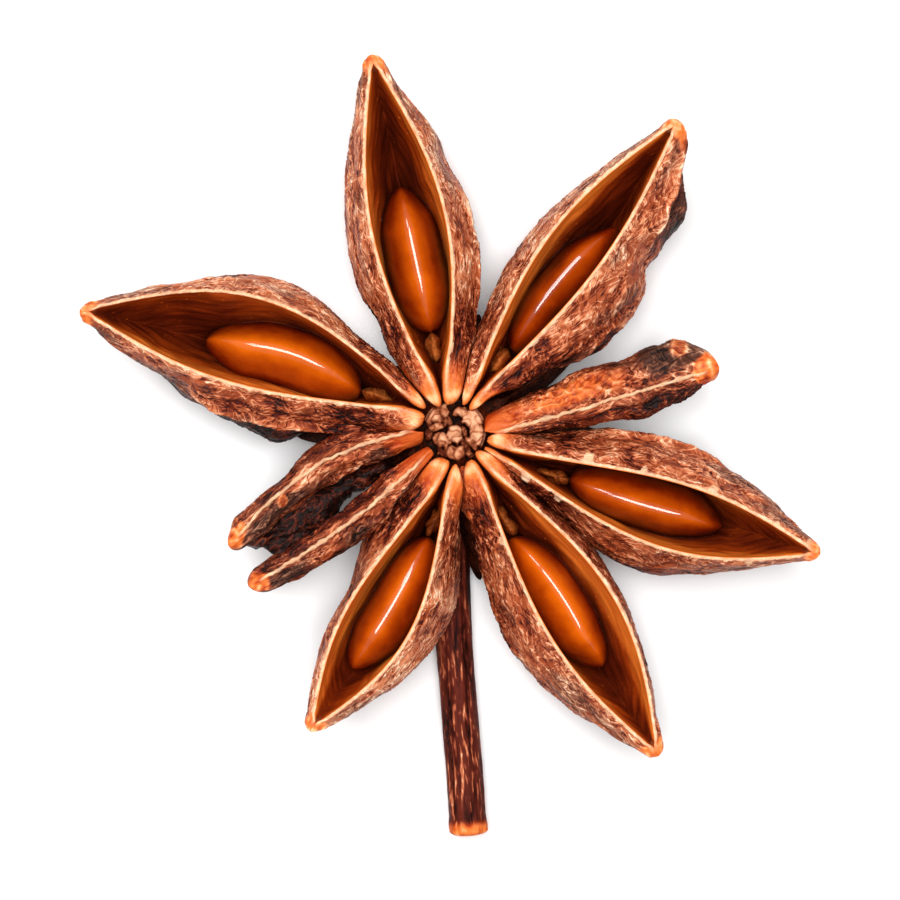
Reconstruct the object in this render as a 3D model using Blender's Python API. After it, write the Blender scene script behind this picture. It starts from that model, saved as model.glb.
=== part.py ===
# Star anise pod: nine boat-shaped carpels round a short columella on a thin stalk, grown
# together into one woody husk, with one glossy seed lying loose in each of the six that have split.
# Sizes are in millimetres. Every piece hangs from one empty, whose scale turns them into metres.
# The stem end is down, +Z is up.
from math import log, pi

import bmesh
import bpy
import numpy as np
from mathutils import Matrix, Vector

MM = 0.001

# The husk as a whole
ROOT_RADIUS = 1.4  # where each carpel starts, out from the hub's axis
LIP_HEIGHT = 6.5  # the carpels' upper edges at the hub
BEAK_HEIGHT = 7.2  # and at their tips
EDGE_SAG = 0.25  # the edges dip this much half way
HUB_DEPTH = 4.3  # from the lips down to the keel at the hub
WALL_AT_EDGE = 0.3
WALL_AT_WAIST = 0.65
WALL_AT_KEEL = 0.95
SLIT = 0.12  # half the slit between the two lips at the hub
SLIT_DEPTH = 0.6
MOUTH_CLEARANCE = 1.5  # how far above the edge a hollow's cutter reaches
ROOT_WIDTH = 0.85  # half width of a carpel where it starts
ROOT_COVER = 1.0  # a carpel's rounded inner end lies this far inside the hub
BEAK_RADIUS = 0.4
BEAK_START = 0.9  # share of the length where the beak begins
BEAK_TOP_SHARE = 0.75  # width of the beak's flat top against the beak's own
LEAST_HALF_TOP = 0.06
MOUTH_END = 0.3  # the mouth closes this far short of the tip
HOLLOW_START = 0.1  # the hollow starts this far in from the root
HOLLOW_END = 0.9  # and ends this far short of the tip
LEAST_HALF_SLIT = 0.08
WAIST_SHARE = 0.5  # the widest level, from the keel up to the edge
BILGE_POWER = 0.9  # below 1 makes the sections fuller under the waist
EDGE_POWER = 1.05
BELLY_POWER = 1.2
HOLLOW_POWER = 0.3  # the lower, the sooner a hollow reaches its full size from either end
KEEL_LEAN = 1.25  # the keel leans this many times as far as the waist
KEEL_START = -4.0  # the keel's curve begins on the far side of the axis
KEEL_PEAK = 0.62  # and is deepest at this share of its length
KEEL_POWER = 0.85
KEEL_AT_ROOT = 0.6  # depth of the keel where it meets the hub, as a share of the hub's
LEAST_DROP = 0.2  # the blunt ends keep this share of their depth

# The six carpels that split open. Azimuth and the offsets root, tip, bow and lean are to the left,
# looking outwards. mouth and belly are half widths, the peaks are shares of the length, and
# hover is how far the keel clears the table. A fold is where the skin bulges out near the tip.
OPEN_CARPELS = {
    "a": dict(azimuth=162, reach=19.35, root=-0.4, tip=0.05, bow=-0.9, lean=0.46,
              mouth=2.1, mouth_peak=0.55, belly=3.05, belly_peak=0.51, depth=7.1, hover=0.0),
    "b": dict(azimuth=102, reach=18.95, root=0.25, tip=0.15, bow=-0.12, lean=0.06,
              mouth=1.76, mouth_peak=0.52, belly=2.5, belly_peak=0.47, depth=6.8, hover=0.2),
    "c": dict(azimuth=54, reach=18.85, root=0.2, tip=0.05, bow=0.31, lean=-1.0, fold=1.0,
              mouth=1.33, mouth_peak=0.54, belly=2.6, belly_peak=0.48, depth=7.0, hover=0.0),
    "d": dict(azimuth=-18, reach=19.0, root=-0.15, tip=-0.2, bow=-0.49, lean=0.52,
              mouth=1.56, mouth_peak=0.59, belly=2.47, belly_peak=0.55, depth=7.0, hover=0.0),
    "e": dict(azimuth=-58, reach=18.9, root=0.15, tip=0.05, bow=0.39, lean=-0.8,
              mouth=1.75, mouth_peak=0.56, belly=2.44, belly_peak=0.53, depth=6.9, hover=0.15),
    "f": dict(azimuth=-116, reach=16.4, root=0.6, tip=0.1, bow=0.45, lean=0.45,
              mouth=1.56, mouth_peak=0.59, belly=2.08, belly_peak=0.56, depth=7.0, hover=0.0),
}

FOLD_PLACE = 15.2  # out from the axis
FOLD_SPREAD = 1.4

# The three that stayed shut: thinner, shrunken and clear of the table, each with a raised seam.
SHUT_CARPELS = {
    "g": dict(azimuth=13.5, reach=13.5, root=-0.6, tip=0.0, bow=-0.05, lean=0.5,
              belly=0.95, belly_peak=0.68, depth=3.8, top=6.1),
    "h": dict(azimuth=-143, reach=12.75, root=0.1, tip=0.05, bow=0.42, lean=0.25,
              belly=0.36, belly_peak=0.5, depth=3.3, top=6.3),
    "i": dict(azimuth=-160, reach=12.45, root=-0.6, tip=1.5, bow=-1.15, lean=0.1,
              belly=0.36, belly_peak=0.5, depth=3.4, top=6.0),
}
SHUT_WIDTH = 0.62  # half width of a shut carpel at its ends
SHUT_TIP_RADIUS = 0.8
SHUT_BELLY_POWER = 0.8
SHUT_LEAN_POWER = 0.6
SHUT_ROOT_DEPTH = 0.75  # its depth at the root, as a share of the full one
SHUT_TAPER = 0.55  # and it loses this share of it towards the tip
SEAM_RISE = 0.12
SHUT_DIP = 0.5  # its upper edge drops this much towards the tip

# The shrivelled belly of the last shut carpel, which fills the gap below its neighbour
WEB = dict(azimuth=-149.5, start=6.4, reach=11.9, side=-0.15, half_width=1.15, low=2.3, high=4.5)
# A sliver of torn skin between two open carpels
TONGUE = dict(azimuth=-80.5, start=1.6, reach=4.5, side=0.1, half_width=0.32, low=4.3, high=5.3)

# The hub: its profile as (radius, height), and the lumps that ring the nub in the middle
HUB_PROFILE = ((1.3, 1.9), (2.1, 2.5), (2.3, 3.4), (1.9, 5.0), (1.35, 5.7), (1.2, 6.15), (0.75, 6.25))
NUB_RADIUS = 0.36
NUB_TOP = 6.4
NUB_FOOT = 6.22
LUMPS = 8
LUMP_RADIUS = 0.34
LUMP_RING = 0.86
LUMP_LEVEL = 6.15

# The stalk: centre line as (out, left, up) along its own azimuth, and its radius
STALK_AZIMUTH = -88
STALK_LINE = ((-0.8, 0.1, 2.9), (0.9, 0.0, 2.2), (3.2, -0.15, 1.5), (6.5, -0.35, 1.1),
              (10.0, -0.38, 1.0), (13.5, -0.25, 1.0), (17.0, -0.08, 0.97), (20.1, 0.02, 0.95))
STALK_RADIUS = 0.95
STALK_CAP = 0.3  # its cut end rounds over this length
STALK_CAP_RINGS = ((0.6, 0.85), (1.0, 0.5))  # (share of that length, share of the radius)

# The seeds: where each lies along and across its carpel, and its size
SEEDS = {
    "a": dict(start=5.0, length=8.15, side_in=-0.5, side_out=-0.3, bulge=-0.75, half_width=1.52),
    "b": dict(start=5.05, length=7.4, side_in=0.1, side_out=0.1, bulge=0.0, half_width=1.5),
    "c": dict(start=4.9, length=8.05, side_in=0.2, side_out=-0.3, bulge=0.25, half_width=1.42),
    "d": dict(start=6.2, length=7.95, side_in=-0.6, side_out=-0.3, bulge=-0.15, half_width=1.45),
    "e": dict(start=6.0, length=7.85, side_in=-0.2, side_out=-0.1, bulge=0.35, half_width=1.4),
    "f": dict(start=5.3, length=7.55, side_in=1.1, side_out=0.55, bulge=0.2, half_width=1.35, low=2.9),
}
SEED_TOP = 5.95
SEED_LOW = 2.0
SEED_LEAN = 0.8  # a seed's underside leans with its carpel by this share
SEED_ROUND_IN = 0.42  # its inner end rounds over this share of its length
SEED_ROUND_OUT = 0.36
SEED_WAIST = 0.45  # its widest level, from the lowest point up to the ridge
SEED_SLOPE = 1.35  # the slopes are flat at 1 and round at 2

# The short stem that each seed grew on, standing on the floor of its hollow just short of the seed
STEM = dict(length=1.15, gap=0.3, half_width=0.3, low=2.2, high=5.3)

# How finely the solids are cut into facets
OUTER_FACETS = 12
INNER_FACETS = 8
CARPEL_STATIONS = 17
HOLLOW_STATIONS = 15
SHUT_FACETS = 12
SHUT_STATIONS = 13
STALK_FACETS = 10
STALK_STATIONS = 15
SEED_FACETS = 10
SEED_STATIONS = 11
BLADE_FACETS = 8
BLADE_STATIONS = 6
HUB_FACETS = 18
LUMP_FACETS = 8
HUSK_SHADE_ANGLE = 40  # degrees between faces, past which an edge stays sharp
SEED_SHADE_ANGLE = 50

COLOURS = {  # base colour, roughness
    "husk": ((0.30, 0.11, 0.045), 0.75),
    "seed": ((0.42, 0.10, 0.01), 0.2),
}


def hump(t, peak, power):
    """A smooth rise and fall over t from 0 to 1, highest at peak."""
    shifted = np.clip(t, 0, 1) ** (log(0.5) / log(peak))
    return np.sin(pi * shifted) ** power


def stations(start, end, count):
    """Places along a piece, closer together near both ends."""
    even = np.linspace(0, 1, count)
    return start + (end - start) * (0.35 * even + 0.65 * (0.5 - 0.5 * np.cos(pi * even)))


def round_end(x, start, end, radius_in, radius_out):
    """Falls to nearly 0 at each end, as a quarter circle of the given radius."""
    near = np.clip((radius_in - (x - start)) / radius_in, 0, 0.985)
    far = np.clip((radius_out - (end - x)) / radius_out, 0, 0.985)
    return np.sqrt(1 - near**2) * np.sqrt(1 - far**2)


def keel_drop(x, spec):
    """Depth of an open carpel below its edge: shallow at the beak, deepest past half way."""
    fall = hump((x - KEEL_START) / (spec["reach"] - KEEL_START), KEEL_PEAK, KEEL_POWER)
    t = (x - ROOT_RADIUS) / (spec["reach"] - ROOT_RADIUS)
    least = KEEL_AT_ROOT * HUB_DEPTH * (1 - t) ** 3 + 2 * BEAK_RADIUS * t
    return np.maximum(spec["depth"] * fall, least)


def open_shape(spec, x):
    """What an open carpel measures at each place x: its middle lines, levels and half widths."""
    reach = spec["reach"]
    t = (x - ROOT_RADIUS) / (reach - ROOT_RADIUS)
    tip_round = round_end(x, ROOT_RADIUS - ROOT_COVER, reach, 0.5 * ROOT_COVER, BEAK_RADIUS)
    middle = spec["root"] + (spec["tip"] - spec["root"]) * t + spec["bow"] * np.sin(pi * t)
    lean = spec["lean"] * np.sin(pi * t)
    gape = hump((x - ROOT_RADIUS) / (reach - MOUTH_END - ROOT_RADIUS), spec["mouth_peak"], EDGE_POWER)
    belly = hump(t, spec["belly_peak"], BELLY_POWER)
    half_width = (ROOT_WIDTH * (1 - t) + BEAK_RADIUS * t + spec["belly"] * belly) * tip_round
    half_mouth = SLIT * (1 - t) + spec["mouth"] * gape
    edge = LIP_HEIGHT + (BEAK_HEIGHT - LIP_HEIGHT) * t - EDGE_SAG * np.sin(pi * t)
    keel = edge - keel_drop(x, spec) * np.maximum(tip_round, LEAST_DROP)
    return dict(
        x=x,
        t=t,
        middle=middle,
        waist_middle=middle + lean,
        keel_middle=middle + KEEL_LEAN * lean,
        half_mouth=half_mouth,
        half_width=half_width,
        edge=edge,
        keel=np.maximum(keel, spec["hover"]),
    )


def half_section(shape, side, half_top, half_waist, floor, floor_middle, count):
    """One side of every section, from the edge to the floor: a parabola, then part of an ellipse."""
    share = np.linspace(0, 1, count)[None, :]
    upper = np.clip(1 - share * 2, 0, 1)
    lower = np.clip(share * 2 - 1, 0, 1) * pi / 2
    waist_y = (shape["waist_middle"] + side * half_waist)[:, None]
    top_y = (shape["middle"] + side * half_top)[:, None]
    low_y = floor_middle[:, None]
    edge = shape["edge"][:, None]
    low = floor[:, None]
    waist = low + WAIST_SHARE * (edge - low)
    upper_y = waist_y + (top_y - waist_y) * upper**2
    upper_z = waist + (edge - waist) * upper
    lower_y = low_y + (waist_y - low_y) * np.cos(lower) ** BILGE_POWER
    lower_z = waist - (waist - low) * np.sin(lower)
    y = np.where(share < 0.5, upper_y, lower_y)
    z = np.where(share < 0.5, upper_z, lower_z)
    return np.stack([np.broadcast_to(shape["x"][:, None], y.shape), y, z], axis=2)


def boat_rings(spec):
    """Cross-sections of a split carpel's outside, straight across its mouth."""
    shape = open_shape(spec, stations(ROOT_RADIUS, spec["reach"], CARPEL_STATIONS))
    keel, keel_middle = shape["keel"], shape["keel_middle"]
    full_top = shape["half_mouth"] + WALL_AT_EDGE
    # the top narrows with the beak once that is slimmer than the mouth and its walls
    beak_top = np.maximum(BEAK_TOP_SHARE * shape["half_width"], LEAST_HALF_TOP)
    half_top = np.where(shape["t"] < BEAK_START, full_top, np.minimum(full_top, beak_top))
    half_waist = np.maximum(shape["half_width"], 0.9 * half_top)
    fold = spec.get("fold", 0) * np.exp(-((shape["x"] - FOLD_PLACE) / FOLD_SPREAD) ** 2)
    count = OUTER_FACETS // 2 + 1
    left = half_section(shape, 1, half_top, half_waist, keel, keel_middle, count)
    right = half_section(shape, -1, half_top, half_waist + fold, keel, keel_middle, count)
    return np.concatenate([left, right[:, -2::-1]], axis=1)


def hollow_rings(spec):
    """Cross-sections of its hollow, carried up past the edge: full at the seed, a slit at the hub."""
    x = stations(ROOT_RADIUS - HOLLOW_START, spec["reach"] - HOLLOW_END, HOLLOW_STATIONS)
    shape = open_shape(spec, x)
    t = (shape["x"] - shape["x"][0]) / (shape["x"][-1] - shape["x"][0])
    fullness = hump(t, 0.5, HOLLOW_POWER)
    half_top = np.maximum(shape["half_mouth"], LEAST_HALF_SLIT)
    half_waist = half_top + np.maximum(shape["half_width"] - WALL_AT_WAIST - half_top, 0) * fullness
    depth = np.maximum(shape["edge"] - shape["keel"] - WALL_AT_KEEL - SLIT_DEPTH, 0)
    floor = shape["edge"] - SLIT_DEPTH - depth * fullness
    floor_middle = shape["middle"] + (shape["keel_middle"] - shape["middle"]) * fullness
    shape["waist_middle"] = shape["middle"] + (shape["waist_middle"] - shape["middle"]) * fullness
    count = INNER_FACETS // 2 + 1
    left = half_section(shape, 1, half_top, half_waist, floor, floor_middle, count)
    right = half_section(shape, -1, half_top, half_waist, floor, floor_middle, count)
    lift = np.array((0, 0, MOUTH_CLEARANCE))
    return np.concatenate([left[:, :1] + lift, left, right[:, -2::-1], right[:, :1] + lift], axis=1)


def shut_rings(spec):
    """Cross-sections of a shut carpel: a drop shape with the seam along its top."""
    reach = spec["reach"]
    x = stations(ROOT_RADIUS, reach, SHUT_STATIONS)
    t = (x - ROOT_RADIUS) / (reach - ROOT_RADIUS)
    tip_round = round_end(x, ROOT_RADIUS - ROOT_COVER, reach, 0.5 * ROOT_COVER, SHUT_TIP_RADIUS)
    seam = spec["root"] + (spec["tip"] - spec["root"]) * t + spec["bow"] * np.sin(pi * t)
    belly_middle = seam + spec["lean"] * np.sin(pi * t) ** SHUT_LEAN_POWER
    swell = hump(t, spec["belly_peak"], SHUT_BELLY_POWER)
    half_width = (SHUT_WIDTH + spec["belly"] * swell) * tip_round
    top = spec["top"] - SHUT_DIP * t
    fullness = SHUT_ROOT_DEPTH + (1 - SHUT_ROOT_DEPTH) * np.sin(pi * t)
    drop = spec["depth"] * fullness * (1 - SHUT_TAPER * t) * tip_round + LEAST_HALF_TOP
    middle_level = top - 0.5 * drop
    turn = np.linspace(0, 2 * pi, SHUT_FACETS, endpoint=False)[None, :]
    y = belly_middle[:, None] + half_width[:, None] * np.sin(turn)
    z = middle_level[:, None] + 0.5 * drop[:, None] * np.cos(turn)
    # the crown of the section leans over to the seam
    crown = np.clip(np.cos(turn), 0, 1) ** 3
    y = y + (seam - belly_middle)[:, None] * crown
    z = z + SEAM_RISE * crown * tip_round[:, None]
    return np.stack([np.broadcast_to(x[:, None], y.shape), y, z], axis=2)


def blade_rings(spec):
    """Cross-sections of a flat sliver with rounded edges and ends."""
    x = stations(spec["start"], spec["reach"], BLADE_STATIONS)
    length = spec["reach"] - spec["start"]
    size = round_end(x, spec["start"], spec["reach"], 0.5 * length, SHUT_TIP_RADIUS)
    turn = np.linspace(0, 2 * pi, BLADE_FACETS, endpoint=False)[None, :]
    level = 0.5 * (spec["low"] + spec["high"])
    y = spec["side"] + spec["half_width"] * size[:, None] * np.sin(turn)
    z = level + 0.5 * (spec["high"] - spec["low"]) * size[:, None] * np.cos(turn)
    return np.stack([np.broadcast_to(x[:, None], y.shape), y, z], axis=2)


def smooth_line(points, count):
    """Places along a smooth curve through the given points (a chain of cubic pieces)."""
    points = np.array(points, float)
    padded = np.vstack([2 * points[0] - points[1], points, 2 * points[-1] - points[-2]])
    place = np.linspace(0, len(points) - 1, count)
    piece = np.minimum(place.astype(int), len(points) - 2)
    u = (place - piece)[:, None]
    before, here, after, beyond = (padded[piece + k] for k in range(4))
    return 0.5 * (2 * here + (after - before) * u + (2 * before - 5 * here + 4 * after - beyond) * u**2
                  + (3 * here - before - 3 * after + beyond) * u**3)


def stalk_rings():
    """Rings square to the stalk's centre line, with the outer end rounded over."""
    line = smooth_line(STALK_LINE, STALK_STATIONS)
    along = np.gradient(line, axis=0)
    along /= np.linalg.norm(along, axis=1)[:, None]
    across = np.cross((0, 0, 1), along)
    across /= np.linalg.norm(across, axis=1)[:, None]
    up = np.cross(along, across)
    turn = np.linspace(0, 2 * pi, STALK_FACETS, endpoint=False)
    round_part = np.cos(turn)[:, None, None] * up + np.sin(turn)[:, None, None] * across
    rings = (line[None] + STALK_RADIUS * round_part).transpose(1, 0, 2)
    # two shrinking rings close the cut end
    caps = []
    for outwards, shrink in STALK_CAP_RINGS:
        centre = line[-1] + along[-1] * STALK_CAP * outwards
        caps.append(centre + STALK_RADIUS * shrink * round_part[:, -1])
    rings = np.concatenate([rings, np.array(caps)], axis=0)
    rings[..., 2] = np.maximum(rings[..., 2], 0.0)
    return rings


def seed_rings(spec, carpel):
    """Cross-sections of a seed: rounded below, two flat slopes above that meet in a sharp ridge."""
    start = spec["start"]
    end = start + spec["length"]
    x = stations(start, end, SEED_STATIONS)
    t = (x - start) / spec["length"]
    body = round_end(x, start, end, SEED_ROUND_IN * spec["length"], SEED_ROUND_OUT * spec["length"])
    ridge = spec["side_in"] + (spec["side_out"] - spec["side_in"]) * t
    ridge = ridge + spec["bulge"] * np.sin(pi * t)
    half_width = spec["half_width"] * body
    low = spec.get("low", SEED_LOW)
    middle_level = low + SEED_WAIST * (SEED_TOP - low)
    up = (SEED_TOP - middle_level) * body**0.7
    down = (middle_level - low) * body
    turn = np.linspace(0, 2 * pi, SEED_FACETS, endpoint=False)[None, :]
    side = np.sin(turn)
    rise = np.cos(turn)
    slope = np.clip(1 - np.abs(side) ** SEED_SLOPE, 0, 1) ** 0.8
    z = middle_level + np.where(rise > 0, up[:, None] * slope, down[:, None] * rise)
    lean = carpel["lean"] * np.sin(pi * (x - ROOT_RADIUS) / (carpel["reach"] - ROOT_RADIUS))
    sink = (SEED_TOP - z) / (SEED_TOP - low)
    y = ridge[:, None] + half_width[:, None] * side + SEED_LEAN * lean[:, None] * sink
    return np.stack([np.broadcast_to(x[:, None], y.shape), y, z], axis=2)


def loft(rings):
    """A closed bmesh over the rings: quads between them, and a fan round the middle of each end."""
    bm = bmesh.new()
    around = rings.shape[1]
    rows = [[bm.verts.new(Vector(point)) for point in ring] for ring in rings]
    for row, following in zip(rows, rows[1:]):
        for i in range(around):
            j = (i + 1) % around
            bm.faces.new((row[i], row[j], following[j], following[i]))
    for row, ring in ((rows[0], rings[0]), (rows[-1], rings[-1])):
        middle = bm.verts.new(Vector(0.5 * (ring.min(axis=0) + ring.max(axis=0))))
        for i in range(around):
            bm.faces.new((row[i], row[(i + 1) % around], middle))
    bmesh.ops.recalc_face_normals(bm, faces=bm.faces)
    return bm


def add_object(name, bm, azimuth=0.0, shade_angle=HUSK_SHADE_ANGLE):
    """Links the bmesh as an object, turned to its azimuth about the hub's axis."""
    bmesh.ops.transform(bm, matrix=Matrix.Rotation(azimuth * pi / 180, 4, "Z"), verts=bm.verts)
    mesh = bpy.data.meshes.new(name)
    bm.to_mesh(mesh)
    bm.free()
    mesh.shade_smooth()
    mesh.set_sharp_from_angle(angle=shade_angle * pi / 180)
    piece = bpy.data.objects.new(name, mesh)
    piece.parent = pod
    bpy.context.scene.collection.objects.link(piece)
    return piece


def material(name, colour, roughness):
    finish = bpy.data.materials.new(name)
    finish.use_nodes = True
    shader = finish.node_tree.nodes["Principled BSDF"]
    shader.inputs["Base Color"].default_value = (*colour, 1)
    shader.inputs["Roughness"].default_value = roughness
    shader.inputs["Metallic"].default_value = 0
    return finish


def hub_body():
    """The core turned about the axis, closed by the nub's small dome in the middle."""
    bm = bmesh.new()
    below = (0.0, HUB_PROFILE[0][1])
    nub = ((NUB_RADIUS, NUB_FOOT), (0.7 * NUB_RADIUS, NUB_TOP - 0.06), (0.0, NUB_TOP))
    points = [bm.verts.new((radius, 0, height)) for radius, height in (below, *HUB_PROFILE, *nub)]
    edges = [bm.edges.new(pair) for pair in zip(points, points[1:])]
    bmesh.ops.spin(bm, geom=points + edges, axis=(0, 0, 1), angle=2 * pi, steps=HUB_FACETS, use_merge=True)
    bmesh.ops.remove_doubles(bm, verts=bm.verts, dist=0.001)
    bmesh.ops.recalc_face_normals(bm, faces=bm.faces)
    return bm


def lump_body(index):
    """One of the rounded lumps that ring the nub."""
    bm = bmesh.new()
    turn = 2 * pi * index / LUMPS
    radius = LUMP_RADIUS * (1 + 0.12 * np.sin(3.1 * index + 1))
    place = Matrix.Translation((LUMP_RING * np.cos(turn), LUMP_RING * np.sin(turn), LUMP_LEVEL))
    bmesh.ops.create_uvsphere(bm, u_segments=LUMP_FACETS, v_segments=5, radius=radius, matrix=place)
    return bm


def guide(piece):
    """Marks a body that is only united into another, so it isn't a piece itself."""
    piece.hide_render = True
    piece.display_type = "WIRE"
    return piece


def combine(target, bodies, operation):
    """Adds one exact Boolean for each body, in order."""
    for body in bodies:
        step = target.modifiers.new(operation.lower() + "_" + body.name, "BOOLEAN")
        step.operation = operation
        step.solver = "EXACT"
        step.object = guide(body)


for old in list(bpy.data.objects):
    bpy.data.objects.remove(old)

pod = bpy.data.objects.new("star_anise_pod", None)
pod.scale = (MM, MM, MM)
bpy.context.scene.collection.objects.link(pod)

husk = add_object("husk", hub_body())
bodies = []
for key, spec in OPEN_CARPELS.items():
    bodies.append(add_object("open_carpel_" + key, loft(boat_rings(spec)), spec["azimuth"]))
for key, spec in SHUT_CARPELS.items():
    bodies.append(add_object("shut_carpel_" + key, loft(shut_rings(spec)), spec["azimuth"]))
bodies.append(add_object("web", loft(blade_rings(WEB)), WEB["azimuth"]))
bodies.append(add_object("tongue", loft(blade_rings(TONGUE)), TONGUE["azimuth"]))
bodies.append(add_object("stalk", loft(stalk_rings()), STALK_AZIMUTH))
for index in range(LUMPS):
    bodies.append(add_object(f"lump_{index}", lump_body(index)))
combine(husk, bodies, "UNION")
hollows = []
for key, spec in OPEN_CARPELS.items():
    hollows.append(add_object("hollow_" + key, loft(hollow_rings(spec)), spec["azimuth"]))
combine(husk, hollows, "DIFFERENCE")
stems = []
for key, spec in SEEDS.items():
    end = spec["start"] - STEM["gap"]
    blade = dict(STEM, start=end - STEM["length"], reach=end, side=spec["side_in"])
    stems.append(add_object("stem_" + key, loft(blade_rings(blade)), OPEN_CARPELS[key]["azimuth"]))
combine(husk, stems, "UNION")
husk.data.materials.append(material("husk", *COLOURS["husk"]))

# the origin is under the middle of the pod's box, so the hub stands a little off it
corners = np.array([vertex.co for body in bodies for vertex in body.data.vertices])
middle = 0.5 * (corners.min(axis=0) + corners.max(axis=0))
pod.location = (-middle[0] * MM, -middle[1] * MM, 0)

for key, spec in SEEDS.items():
    carpel = OPEN_CARPELS[key]
    seed = add_object("seed_" + key, loft(seed_rings(spec, carpel)), carpel["azimuth"], SEED_SHADE_ANGLE)
    seed.data.materials.append(material("seed_" + key, *COLOURS["seed"]))
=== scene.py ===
from math import atan2, cos, log, pi, radians, sin

import bpy
import numpy as np
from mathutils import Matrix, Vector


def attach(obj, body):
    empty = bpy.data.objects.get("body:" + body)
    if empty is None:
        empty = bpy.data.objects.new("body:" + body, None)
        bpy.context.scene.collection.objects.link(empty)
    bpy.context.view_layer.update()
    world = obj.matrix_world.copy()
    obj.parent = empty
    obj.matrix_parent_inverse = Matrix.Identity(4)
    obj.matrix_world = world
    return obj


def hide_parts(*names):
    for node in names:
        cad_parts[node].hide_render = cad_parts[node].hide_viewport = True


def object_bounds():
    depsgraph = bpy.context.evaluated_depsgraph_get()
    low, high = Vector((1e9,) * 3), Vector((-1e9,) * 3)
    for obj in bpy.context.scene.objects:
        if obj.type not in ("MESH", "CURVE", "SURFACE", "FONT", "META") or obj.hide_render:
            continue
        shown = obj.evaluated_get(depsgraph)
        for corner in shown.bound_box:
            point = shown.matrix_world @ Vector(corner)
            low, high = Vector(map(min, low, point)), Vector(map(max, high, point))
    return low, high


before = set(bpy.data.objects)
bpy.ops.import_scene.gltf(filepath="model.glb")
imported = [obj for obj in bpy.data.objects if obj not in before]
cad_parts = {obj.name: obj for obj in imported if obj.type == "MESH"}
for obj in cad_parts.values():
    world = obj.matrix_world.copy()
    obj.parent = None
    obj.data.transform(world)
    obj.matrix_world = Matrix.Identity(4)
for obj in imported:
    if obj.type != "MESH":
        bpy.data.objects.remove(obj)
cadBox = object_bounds()
print("frame loaded:", sorted(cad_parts))

# Everything below is in millimetres, out from the hub's axis, and goes to metres in makeMesh
mm = 0.001
hubPlace = (0.2051, 0.9488)  # the hub's axis, off the middle of the pod's box


def srgb(red, green, blue):
    # screen colour 0..255 to linear light, by the usual 2.4 power curve
    screen = np.array((red, green, blue)) / 255
    linear = np.where(screen > 0.04045, ((screen + 0.055) / 1.055) ** 2.4, screen / 12.92)
    return (*linear.tolist(), 1.0)


def hump(t, peak, power):
    # 0 at both ends and 1 at the peak: sin of t bent so that the peak falls half way
    bent = np.clip(t, 0, 1) ** (log(0.5) / log(peak))
    return np.sin(pi * bent) ** power


def smoothStep(low, high, value):
    # 0 below low, 1 above high, 3t^2 - 2t^3 between
    t = np.clip((value - low) / (high - low), 0, 1)
    return t * t * (3 - 2 * t)


def bowed(t, start, end, bow):
    # even from start to end, swung aside between: start + (end - start) * t + bow * sin(pi * t)
    return start + (end - start) * t + bow * np.sin(pi * t)


def bell(value, middle, width):
    # 1 at the middle and soon 0 on both sides: exp(-((value - middle) / width)^2)
    return np.exp(-((value - middle) / width) ** 2)


def together(*parts):
    # arrays spread to one shape and laid side by side on a last axis
    return np.stack(np.broadcast_arrays(*parts), axis=-1)


def ringTurn(count):
    # even angles once round, as a row
    return np.linspace(0, 2 * pi, count, endpoint=False)[None, :]


def roundEnd(x, start, end, radiusIn, radiusOut):
    # a quarter circle at each end: sqrt(1 - how far into the end^2)
    near = np.clip((radiusIn - (x - start)) / radiusIn, 0, 0.999)
    far = np.clip((radiusOut - (end - x)) / radiusOut, 0, 0.999)
    return np.sqrt(1 - near**2) * np.sqrt(1 - far**2)


def stations(start, end, count):
    # places from start to end, 0.6 even steps and 0.4 cosine steps, so both ends are finer
    even = np.linspace(0, 1, count)
    return start + (end - start) * (0.6 * even + 0.4 * (0.5 - 0.5 * np.cos(pi * even)))


latticeSlopes = np.random.default_rng(11).normal(size=(1024, 3))
latticeSlopes /= np.linalg.norm(latticeSlopes, axis=1)[:, None]


def latticeNumber(cell, seed):
    # one steady pseudo-random number for each cell: the sum of large numbers times its place, then mixed
    number = cell[..., 0] * 73856093 + cell[..., 1] * 19349663 + cell[..., 2] * 83492791 + seed * 2654435
    number = (number ^ (number >> 13)) * 1274126177 & 0x7FFFFFFF
    return number ^ (number >> 15)


def softNoise(x, y, z, seed):
    # gradient noise, about -1..1: each corner's slope times the way to it, blended by 6t^5-15t^4+10t^3
    place = together(x, y, z).astype(float)
    cell = np.floor(place).astype(np.int64)
    inside = place - cell
    fade = inside**3 * (inside * (inside * 6 - 15) + 10)
    total = np.zeros(place.shape[:-1])
    for corner in np.ndindex(2, 2, 2):
        slope = latticeSlopes[latticeNumber(cell + corner, seed) & 1023]
        weight = np.prod(np.where(np.array(corner) == 1, fade, 1 - fade), axis=-1)
        total += weight * np.sum((inside - corner) * slope, axis=-1)
    return total * 1.6


def cellGap(x, y, seed):
    # distance to the second nearest scattered point less that to the nearest: 0 on the border of a cell
    place = together(x, y).astype(float)
    cell = np.floor(place).astype(np.int64)
    first = np.full(place.shape[:-1], 9.0)
    second = first.copy()
    for dx in (-1, 0, 1):
        for dy in (-1, 0, 1):
            other = cell + (dx, dy)
            number = latticeNumber(np.concatenate([other, other[..., :1] * 0], axis=-1), seed)
            point = other + together((number & 255) / 255, (number >> 8 & 255) / 255)
            away = np.linalg.norm(point - place, axis=-1)
            second = np.minimum(second, np.maximum(first, away))
            first = np.minimum(first, away)
    return second - first


def surfaceNormals(grid, count=None):
    # the cross product of the steps along and round the grid, made one long and turned so that over the
    # first count columns it points away from the rings' middles
    across = np.roll(grid, -1, axis=1) - np.roll(grid, 1, axis=1)
    normal = np.cross(np.gradient(grid, axis=0), across)
    normal /= np.maximum(np.linalg.norm(normal, axis=-1), 1e-9)[..., None]
    away = grid - grid.mean(axis=1, keepdims=True)
    return normal * np.sign(np.sum(normal[:, :count] * away[:, :count]))


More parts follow.
